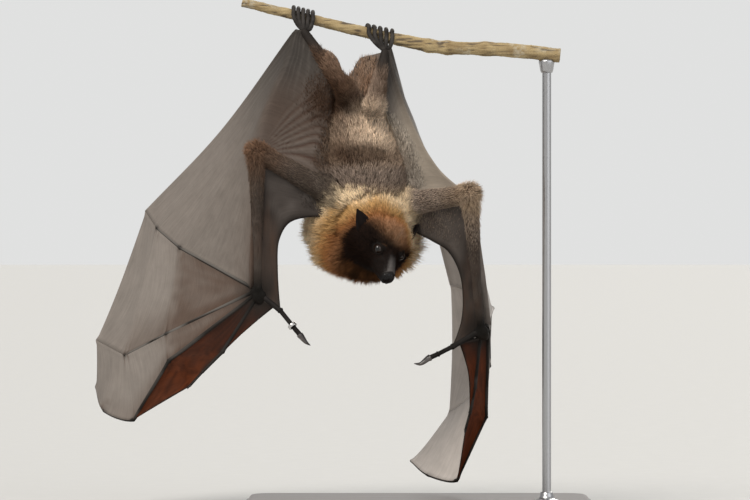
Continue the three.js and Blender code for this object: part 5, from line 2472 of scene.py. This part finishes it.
    def on_wing(self, wing: Wing, web: Web) -> tuple[Array, Array, Array]:
        """Thickness, length and colour of the coat on the main sheet.

        Args:
            wing: the wing of the side.
            web: the sheet.

        Returns:
            Thickness, length and colour at each place.
        """
        arm, leg, flank, _ = web.reach
        p = web.places
        body = hump(np.clip(flank - 12, 0, 99), 13)
        fore = 0.7 * hump(arm, 8) * np.exp(
            -((far_from(p, wing.side.shoulder) / 70) ** 2))
        shin = hump(leg, 12) * np.exp(
            -((far_from(p, wing.side.knee) / 32) ** 2))
        thick = np.clip(np.maximum(np.maximum(body, fore), shin) - 0.04, 0, 1)
        bare = np.array((0.36, 0.325, 0.28) if wing.is_left else MARKS.web_brown)
        tone = mix(bare, MARKS.trunk(p), body * (0.45 if wing.is_left else 0.8))
        # the dark patch by the right hip: dark fur, with painted shade in the hollow beside the
        # thigh, thickening the coat there
        dark = blob(p, (-85, -28, 374), (17, 60, 20))
        thick = np.maximum(thick, 0.85 * np.clip(dark * 1.3, 0, 1))
        return thick, 3.0 + 4.0 * body, mix(tone, MARKS.back_dark, np.clip(dark * 1.2, 0, 0.9))

    def on_tail(self, wing: Wing, web: Web) -> tuple[Array, Array, Array]:
        """Thickness, length and colour of the coat on the sheet inside the leg.

        Args:
            wing: the wing of the side, as for the other sheets; not used.
            web: the sheet.

        Returns:
            Thickness, length and colour at each place.
        """
        _, free, _, foot = web.reach
        thick = ramp(free, 1.5, 6.0) * ramp(foot, 4, 22)
        tone = mix(MARKS.back, MARKS.rufous, cloud(web.places, 9, 108) * 0.7)
        return thick, 4.0 + 3.0 * thick, tone

    def on_fore(self, wing: Wing, web: Web) -> tuple[Array, Array, Array]:
        """Thickness, length and colour of the coat on the sheet before the arm.

        Args:
            wing: the wing of the side.
            web: the sheet.

        Returns:
            Thickness, length and colour at each place.
        """
        free = web.reach[1]
        away = far_from(web.places, wing.side.shoulder)
        spread = 52 if wing.is_left else 30
        near = ramp(-away, -28, -14)
        thick = hump(away, spread) * ramp(free, 1, 9)
        tone = mix(MARKS.arm(web.places, wing.side) * 0.6, MARKS.mane(web.places), near)
        return thick * 0.9, 3.2 + 4 * near, tone

    def plans(self) -> list[CoatPlan]:
        """Every piece of the coat."""
        return [*self.trunk(), *self.mane(), *self.face(), *self.limbs(), *self.sheets()]


def grow_coat(coats: Coats, plan: CoatPlan, finish: bpy.types.Material,
              seed: int) -> bpy.types.Object:
    """Grows one piece of coat and gives it to the frame.

    Args:
        coats: the tree that grows it.
        plan: what to grow.
        finish: the coat's material.
        seed: picks where the tufts stand.

    Returns:
        The piece.
    """
    ground = emitter(plan.patches)
    coat = coats.grow(
        plan.name, ground, Finish=finish, Density=plan.density * 1e6, Width=plan.width * MM,
        Jitter=plan.jitter, Clump=plan.clump, Clump_Size=plan.clump_size, Bend=plan.bend,
        Grizzle=plan.grizzle, Segments=plan.segments, Seed=seed,
    )
    bpy.data.objects.remove(ground)
    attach(coat, "root")
    return coat


# ---------------------------------------------------------------- eyes, claws and ring
@dataclass
class Eyes:
    """The eyeballs, each with its cornea, iris and pupil."""

    rows: int = 40
    sides: int = 48
    bulge: float = 0.55
    iris_dark: tuple = (0.008, 0.004, 0.0025)
    iris_light: tuple = (0.022, 0.010, 0.005)
    pupil: tuple = (0.003, 0.0025, 0.002)
    white: tuple = (0.006, 0.004, 0.003)  # the part past the iris, which is dark in this animal

    def body(self, sign: int) -> Body:
        """One eyeball.

        Args:
            sign: 1 for the left, -1 for the right.

        Returns:
            The painted eyeball.
        """
        gaze, middle = eye_gaze(sign), eye_middle(sign)
        wide = unit(np.cross(gaze, CROWN))
        high = np.cross(gaze, wide)
        angle = np.linspace(math.radians(3), math.radians(177), self.rows)
        size = EYE["radius"] + self.bulge * hump(angle, 0.55)
        line = middle + gaze * (size * np.cos(angle))[:, None]
        across = (size * np.sin(angle))[:, None]
        hoops = hoops_along(line, wide * across, high * across, self.sides)
        body = loft(hoops, middle + gaze * (EYE["radius"] + self.bulge), middle
                    - gaze * EYE["radius"])
        rest = body.points - middle
        turn = np.degrees(np.arccos(np.clip(unit(rest) @ gaze, -1, 1)))
        spoke = np.arctan2(rest @ high, rest @ wide)
        iris = mix(self.iris_dark, self.iris_light, 0.5 + 0.5 * np.sin(spoke * 23))
        tone = mix(self.pupil, iris, ramp(turn, 22, 27))
        tone = mix(tone, self.white, ramp(turn, 42, 50))
        return body.painted(tone)

    def build(self, finish: bpy.types.Material) -> list[bpy.types.Object]:
        """Both eyes.

        Args:
            finish: the piece's material.

        Returns:
            The pieces.
        """
        made = []
        for sign, hand in ((-1, "right"), (1, "left")):
            made.append(finished(f"eyeball_{hand}", self.body(sign), finish, "eye", f"eye_{hand}"))
        return made


@dataclass
class Claws:
    """The claws of thumbs, second fingers and toes."""

    digits: list
    thumb: tuple = (2.7, 2.5, 2.0, 1.2, 0.25)
    toe: tuple = (1.25, 1.15, 0.8, 0.2)
    finger: tuple = (0.9, 0.75, 0.2)
    root_tone: tuple = (0.014, 0.011, 0.010)
    back_tone: tuple = (0.10, 0.085, 0.078)
    overlap: float = 0.02  # share of a toe that its claw and flesh both cover

    def horn(self, line: Curve, radii: Sequence[float], up: Array, deep: float) -> Body:
        """One claw: flat-sided, ridged along its back and sharp.

        Args:
            line: the way of its middle.
            radii: half widths from its root to its tip.
            up: towards its back.
            deep: its height for its width.

        Returns:
            The claw.
        """
        t = np.linspace(0, 1, 22)
        middle = line(t)
        tangent = unit(np.gradient(middle, axis=0))
        high = unit(up - tangent * (tangent @ up)[:, None])
        wide = np.cross(tangent, high)
        size = np.interp(t, np.linspace(0, 1, len(radii)), radii)[:, None]
        hoops = hoops_along(middle, wide * size, high * size * deep, 14)
        body = loft(hoops, middle[0] - tangent[0] * radii[0] * 0.5, middle[-1]
                    + tangent[-1] * radii[-1])
        back = ramp((body.points - nearest_on(middle, body.points)) @ up, 0.1, 1.6)
        streak = cloud(body.points, 1.3, 91)
        tone = mix(self.root_tone, self.back_tone, back * (0.4 + 0.6 * streak))
        return body.painted(tone)

    def build(self, finish: bpy.types.Material) -> list[bpy.types.Object]:
        """The thumb claws, and the small claws of each side.

        Args:
            finish: the horn.

        Returns:
            The pieces.
        """
        made = []
        for digits in self.digits:
            side = digits.wing.side
            root = between(side.thumb[-1], side.thumb[-2], 0.12)
            route = Route([root, *side.thumb_claw])
            horn = self.horn(route.at, self.thumb, np.array([-0.25, -0.6, -0.75]), 1.25)
            made.append(finished(side.named("claw_thumb"), horn, finish, "claw",
                                 side.named("thumb_claw")))
            start = digits.toe_flesh - self.overlap
            small = [self.horn(lambda t, r=r: r.at(start + t * (1 - start)),
                               self.toe, np.array([0.0, 0.5, 0.85]), 1.3)
                     for r in digits.toe_curves()]
            tip, before = (np.array(p, float) for p in side.finger2[:-3:-1])
            ahead = unit(tip - before)
            hook = Route([tip - ahead, tip + ahead * 1.6, tip + ahead * 3.0 + (0, -1.0, -0.6)])
            small.append(self.horn(hook.at, self.finger, np.array([0.0, 1.0, 0.3]), 1.2))
            made.append(finished(side.named("claws_small"), joined(small), finish, "claw"))
        return made


@dataclass
class Ring:
    """The plain open band on the right thumb."""

    wing: Wing
    at: float = 0.66
    radius: float = 3.7
    closed: float = 0.875
    wide: float = 1.5
    thick: float = 0.55
    silver: tuple = (0.62, 0.61, 0.60)

    def build(self, finish: bpy.types.Material) -> bpy.types.Object:
        """The band.

        Args:
            finish: the piece's material.

        Returns:
            The piece.
        """
        near = self.wing.thumb.route.at(np.array([self.at - 0.01, self.at, self.at + 0.01]))
        axis = unit(near[2] - near[0])
        wide = unit(np.cross((0.0, 0.0, 1.0), axis))
        high = np.cross(axis, wide)
        turn = np.linspace(0, 2 * math.pi * self.closed, 72)[:, None]
        outward = wide * np.cos(turn) + high * np.sin(turn)
        round_ = np.linspace(0, 2 * math.pi, 20, endpoint=False)
        soft = lambda w: np.sign(w) * np.abs(w) ** 0.45
        end = np.minimum(np.linspace(0, 1, 72), np.linspace(1, 0, 72)) * 72 / 3
        trim = np.sqrt(np.clip(1 - (1 - np.clip(end, 0.04, 1)) ** 2, 0.05, 1))[:, None, None]
        hoops = (near[1] + outward[:, None]
                 * (self.radius + self.thick * soft(np.cos(round_))[:, None] * trim)
                 + axis * (self.wide * soft(np.sin(round_))[:, None] * trim))
        body = capped(hoops).painted(self.silver)
        return finished("thumb_band", body, finish, "ring_metal", "thumb_ring")


# ---------------------------------------------------------------- perch and stand
class Scatter(Grower):
    """Sets small low grains on a surface, for the bark's breathing pores and flakes."""

    name = "bark grains"
    surface = "Bark"
    sockets = (
        ("Density", "Float", 1e5), ("Length", "Float", 0.0015), ("Seed", "Int", 1),
        ("Finish", "Material", None),
    )

    def wire(self, tree: Tree) -> None:
        """Wires the tree from the bark to the finished grains.

        Args:
            tree: the tree to fill.
        """
        given = tree.add("NodeGroupInput")
        seed = given.outputs["Seed"]
        spread = tree.add("GeometryNodeDistributePointsOnFaces", {
            "Mesh": given.outputs["Bark"], "Density": given.outputs["Density"], "Seed": seed,
        }, distribute_method="RANDOM")
        turn = tree.add("FunctionNodeAxesToRotation", {
            "Primary Axis": spread.outputs["Normal"], "Secondary Axis": (1.0, 0.0, -0.2),
        }, primary_axis="Z", secondary_axis="X")
        long = tree.add("FunctionNodeRandomValue", {2: 0.35, 3: 1.0, "Seed": seed},
                        data_type="FLOAT")
        thin = tree.add("FunctionNodeRandomValue", {
            2: 0.25, 3: 0.7, "Seed": tree.math("ADD", seed, 3.0),
        }, data_type="FLOAT")
        reach = tree.math("MULTIPLY", long.outputs[1], given.outputs["Length"])
        size = tree.add("ShaderNodeCombineXYZ", {
            0: reach, 1: tree.math("MULTIPLY", reach, thin.outputs[1]), 2: tree.math("MULTIPLY",
                                                                                     reach, 0.28),
        })
        ball = tree.add("GeometryNodeMeshIcoSphere", {"Radius": 1.0, "Subdivisions": 2})
        set_ = tree.add("GeometryNodeInstanceOnPoints", {
            "Points": spread.outputs["Points"], "Instance": ball.outputs["Mesh"],
            "Rotation": turn.outputs[0], "Scale": size.outputs[0],
        })
        real = tree.add("GeometryNodeRealizeInstances", {0: set_.outputs[0]})
        smooth = tree.add("GeometryNodeSetShadeSmooth", {0: real.outputs[0]})
        self.finish(tree, smooth.outputs[0], given.outputs["Finish"])


@dataclass
class Perch:
    """The cut length of branch."""

    thin: float = 4.2
    thick: float = 6.6
    knots: tuple = ((8, 1.1), (25, 1.3), (60, 0.9))
    knot_length: float = 5.0
    bark_dark: tuple = (0.19, 0.125, 0.055)
    bark_light: tuple = (0.42, 0.32, 0.165)
    furrow: tuple = (0.060, 0.045, 0.034)
    lichen: tuple = (0.48, 0.44, 0.34)
    wood_light: tuple = (0.46, 0.33, 0.20)
    wood_dark: tuple = (0.30, 0.19, 0.105)
    rows: int = 460
    sides: int = 72

    def body(self) -> Body:
        """The branch, with furrowed bark, knots and sawn ends.

        Returns:
            The painted branch.
        """
        t = np.linspace(0, 1, self.rows)
        line = PERCH_ROUTE.at(t)
        _, wide, high = frames(line)
        radius = self.thin + (self.thick - self.thin) * t
        for x, height in self.knots:
            radius = radius + height * hump(line[:, 0] - x, self.knot_length)
        plain = hoops_along(line, wide * radius[:, None], high * radius[:, None], self.sides)
        outward = unit(plain - line[:, None])
        furrow = cloud(plain * (0.16, 1, 1), 1.5, 111) - 0.5
        lumps = cloud(plain * (0.6, 1, 1), 5.5, 112) - 0.5
        cross = cloud(plain * (1.6, 0.5, 0.5), 1.4, 113) - 0.5
        hoops = plain + outward * (0.75 * furrow + 0.9 * lumps + 0.25 * cross - 0.25)[..., None]
        tone = mix(self.bark_dark, self.bark_light, np.clip(0.5 + 0.7 * furrow + 0.8 * lumps, 0, 1))
        tone = mix(tone, self.furrow, ramp(-furrow, 0.12, 0.34) * 0.8)
        grey = ramp(cloud(plain, 11, 114), 0.55, 0.8) * ramp(cloud(plain, 2.2, 115), 0.3, 0.6)
        tone = mix(tone, self.lichen, grey * 0.45)
        rings, tones = [hoops], [tone]
        for end in (0, -1):
            flats, shades = [], []
            for share in np.linspace(0.94, 0.08, 16):
                flat = line[end] + (hoops[end] - line[end]) * share
                ring = 0.5 + 0.5 * math.sin(share * radius[end] * 7)
                shade = mix(self.wood_light, self.wood_dark,
                            np.full(self.sides, ring * 0.8))
                flats.append(flat)
                shades.append(shade)
            order = slice(None, None, -1) if end == 0 else slice(None)
            flats, shades = np.array(flats)[order], np.array(shades)[order]
            rings = [flats, *rings] if end == 0 else [*rings, flats]
            tones = [shades, *tones] if end == 0 else [*tones, shades]
        body = capped(np.concatenate(rings))
        tone = np.concatenate(tones).reshape(-1, 3)
        body.painted(np.vstack([tone, tone[:1], tone[-1:]]))
        return body

    def build(self, finish: bpy.types.Material,
              grain: bpy.types.Material) -> list[bpy.types.Object]:
        """The branch and the grains on its bark.

        Args:
            finish: the bark.
            grain: the finish of its grains.

        Returns:
            The pieces.
        """
        branch = make_object("branch", self.body())
        grains = Scatter().grow(
            "branch_grains", branch, Finish=grain, Density=30000.0, Length=0.0011, Seed=5)
        branch.data.materials.append(finish)
        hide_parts("perch")
        for piece in (branch, grains):
            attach(piece, "root")
        return [branch, grains]


@dataclass
class Stand:
    """The board, the rod and its fittings."""

    length: float = 320
    depth: float = 240
    height: float = 12
    corner: float = 24
    rod: tuple = (114, -20)
    rod_radius: float = 4.0
    steel: tuple = (0.46, 0.46, 0.47)
    stain: tuple = (0.052, 0.026, 0.014)

    def board(self) -> Body:
        """The board, with a rounded foot and a moulded edge.

        Returns:
            The painted board.
        """
        profile = ((0, 3), (0, 0.9), (0.3, 0.3), (0.9, 0), (6.6, 0), (7.4, 0.35), (7.9, 1.1),
                   (8.1, 2.2),
                   (8.6, 2.5), (9.7, 2.9), (10.8, 3.8), (11.6, 5.1), (12, 6.8), (12, 8.5), (12, 30))
        hoops = []
        for z, inset in profile:
            half = np.array([self.length / 2 - inset, self.depth / 2 - inset])
            corner = max(self.corner - inset, 4.0)
            outline = []
            for k, (sx, sy) in enumerate(((1, 1), (-1, 1), (-1, -1), (1, -1))):
                turn = np.radians(np.linspace(90 * k, 90 * k + 90, 17))
                spot = (half - corner) * (sx, sy)
                outline.append(spot + corner * np.stack([np.cos(turn), np.sin(turn)], -1))
            flat = np.vstack(outline)
            hoops.append(np.hstack([flat, np.full((len(flat), 1), float(z))]))
        body = capped(np.array(hoops))
        return body.painted(self.stain)

    def turned(self, profile: Sequence, sides: int = 64) -> Body:
        """A body turned on the rod's axis, from radii and heights.

        Args:
            profile: radii and heights, from below.
            sides: points round each hoop.

        Returns:
            The body.
        """
        x, y = self.rod
        spots = np.array(profile, float)
        line = np.stack([np.full(len(spots), float(x)), np.full(len(spots), float(y)),
                         spots[:, 1]], -1)
        across = np.zeros((len(spots), 3)) + spots[:, :1]
        hoops = hoops_along(line, across * (1, 0, 0), across * (0, 1, 0), sides)
        return capped(hoops)

    def build(self, wood: bpy.types.Material, steel: bpy.types.Material) -> list[bpy.types.Object]:
        """The stand's pieces.

        Args:
            wood: the board's finish.
            steel: the finish of the rod and its fittings.

        Returns:
            The pieces.
        """
        top = perch_height(self.rod[0])
        r = self.rod_radius
        rod = self.turned(((0.5, 12.3), (r - 0.3, 12.3), (r, 12.7), (r, 13.2), (r, 120), (r, 250),
                           (r, top - 9), (r, top - 2), (0.5, top - 2)))
        collar = self.turned(((r + 0.1, 12.1), (10.5, 12.1), (11, 12.4), (11, 13.8), (10.4, 14.5),
                              (8, 15),
                              (6.6, 16.2), (6.0, 18.2), (5.6, 20.6), (5.0, 21.4), (r + 0.1, 21.5)))
        saddle = self.turned(((r + 0.1, top - 17), (5.2, top - 16.6), (5.9, top - 14.6),
                              (6.6, top - 10),
                              (7.2, top - 7.2), (6.9, top - 5.4), (5.5, top - 4.8),
                              (r + 0.1, top - 4.8)))
        turned = (("stand_post", rod, "stand_rod"), ("stand_collar", collar),
                  ("stand_saddle", saddle))
        return [
            finished("stand_board", self.board(), wood, "stand_wood", "stand_base"),
            *(finished(name, body.painted(self.steel), steel, "stand_steel", *nodes)
              for name, body, *nodes in turned),
        ]


# ---------------------------------------------------------------- light and camera
@dataclass
class Studio:
    """The floor, the lights and the camera."""

    camera: tuple = (-0.0405, -3.52, 0.239)
    lens: float = 186.67
    sensor: float = 36.0
    floor: float = 60.0
    floor_tone: tuple = (0.485, 0.485, 0.48)
    sky: tuple = (0.96, 0.965, 0.96, 1.0)
    lamps: tuple = (  # name, where it shines from, spread in degrees, strength, colour
        ("key", (-1.6, -2.4, 2.8), 30.0, 2.5, (1.0, 0.95, 0.88)),
        ("fill", (2.6, -2.4, 0.8), 60.0, 0.8, (0.95, 0.97, 1.0)),
        ("back", (0.8, 2.4, 2.2), 40.0, 1.5, (1.0, 0.97, 0.9)),
    )

    def build(self) -> None:
        """Sets up the scene round the object."""
        scene = bpy.context.scene
        scene.view_settings.view_transform = "Standard"
        data = bpy.data.cameras.new("camera")
        data.lens, data.sensor_width, data.clip_end = self.lens, self.sensor, 100.0
        camera = linked("camera", data)
        camera.location = self.camera
        camera.rotation_euler = (math.pi / 2, 0.0, 0.0)
        scene.camera = camera
        for name, place, spread, power, colour in self.lamps:
            lamp = bpy.data.lights.new(name, "SUN")
            lamp.angle, lamp.energy, lamp.color = math.radians(spread), power, colour
            holder = linked(name, lamp)
            holder.location = place
            holder.rotation_euler = (-Vector(place)).to_track_quat("-Z", "Y").to_euler()
        turn = np.linspace(0, 2 * math.pi, 96, endpoint=False)
        disc = np.stack([np.cos(turn), np.sin(turn), 0 * turn], -1) * self.floor / MM
        body = capped(np.array([disc - (0, 0, 20), disc, disc * 0.5, disc * 0.1]))
        floor = make_object("floor", body.painted(self.floor_tone), smooth=False)
        floor.data.materials.append(TonedFinish("floor", 0.75, 40.0, 0.0002, 0.1,
                                                uneven=0.015).material())
        world = bpy.data.worlds.new("studio")
        world.use_nodes = True
        tree = Tree(world.node_tree)
        shade = world.node_tree.nodes["Background"]
        shade.inputs["Color"].default_value = self.sky
        seen = tree.add("ShaderNodeLightPath").outputs["Is Camera Ray"]
        tree.feed(shade.inputs["Strength"], tree.math("MULTIPLY_ADD", seen, 0.28, 0.5))
        scene.world = world


# ---------------------------------------------------------------- the whole
FLESH_NODES = (
    "upper_arm", "forearm", "thumb", "finger_2", "finger_3", "finger_4", "finger_5", "thigh",
    "shin", "foot",
)


@dataclass
class Bat:
    """The animal: its skin, coat, eyes, claws and ring."""

    flesh: Flesh = field(default_factory=Flesh)
    head: Head = field(default_factory=Head)
    wings: list = field(default_factory=lambda: [Wing(RIGHT), Wing(LEFT, wing_cells=(84, 62))])

    def skin(self, finish: bpy.types.Material) -> tuple[bpy.types.Object, Pelt]:
        """The one skin, and the plan of the coat that grows on it.

        Args:
            finish: the skin's material.

        Returns:
            The piece and the plan.
        """
        body = self.flesh.body(self.wings)
        body.grain = np.stack([body.points[:, 0] + body.points[:, 1], body.points[:, 2]], -1) * MM
        shells = self.head.bodies()
        for shell in shells:
            shell.grain = np.stack([shell.points[:, 0], shell.points[:, 2]], -1) * MM
        parts = [body, *shells]
        for wing in self.wings:
            parts += Digits(wing).bodies()
            parts += [web.body() for web in wing.webs().values()]
        sheets = self.wings[0].webs()
        nodes = [wing.side.named(n) for wing in self.wings for n in (*FLESH_NODES, *sheets)]
        skin = finished("skin", joined(parts), finish, "wing_skin",
                        "head", "neck", "trunk", "ear_right", "ear_left", *nodes)
        return skin, Pelt(self.flesh, self.head, self.wings, body, shells[0])


def triangles(piece: bpy.types.Object) -> int:
    """How many triangles a piece has.

    Args:
        piece: the piece.

    Returns:
        The count.
    """
    sides = np.empty(len(piece.data.polygons), np.int32)
    piece.data.polygons.foreach_get("loop_total", sides)
    return int((sides - 2).sum())


def main() -> None:
    """Builds the animal, its perch, its stand and the studio."""
    Studio().build()
    bat = Bat()
    skin, pelt = bat.skin(SkinFinish().material())
    made = [skin]
    coats, fur = Coats(), CoatFinish().material()
    for seed, plan in enumerate(pelt.plans(), start=11):
        made.append(grow_coat(coats, plan, fur, seed))
    made += Eyes().build(TonedFinish("eye", 0.06, 900.0, 0.00001, 0.05, uneven=0.1).material())
    horn = TonedFinish("horn", 0.34, 1500.0, 0.00005, 0.3, coat=0.25, uneven=0.25)
    made += Claws([Digits(wing) for wing in bat.wings]).build(horn.material())
    band = TonedFinish("ring metal", 0.26, 2600.0, 0.00002, 0.15, metal=1.0, uneven=0.12)
    made.append(Ring(bat.wings[0]).build(band.material()))
    bark = TonedFinish("bark", 0.85, 1400.0, 0.0003, 0.7, uneven=0.35)
    grain = TonedFinish("bark grain", 0.9, 1800.0, 0.0002, 0.5, uneven=0.3)
    made += Perch().build(bark.material(), grain.material())
    wood = TonedFinish("stained wood", 0.34, 260.0, 0.00012, 0.2, coat=0.35, uneven=0.5,
                       stretch=0.05)
    steel = TonedFinish("brushed steel", 0.30, 1800.0, 0.00003, 0.2, metal=1.0, uneven=0.12)
    made += Stand().build(wood.material(), steel.material())
    for piece in made:
        log.info("%s: %d triangles", piece.name, triangles(piece))
    log.info("whole: %d triangles", sum(triangles(piece) for piece in made))


if __name__ == "__main__":
    main()
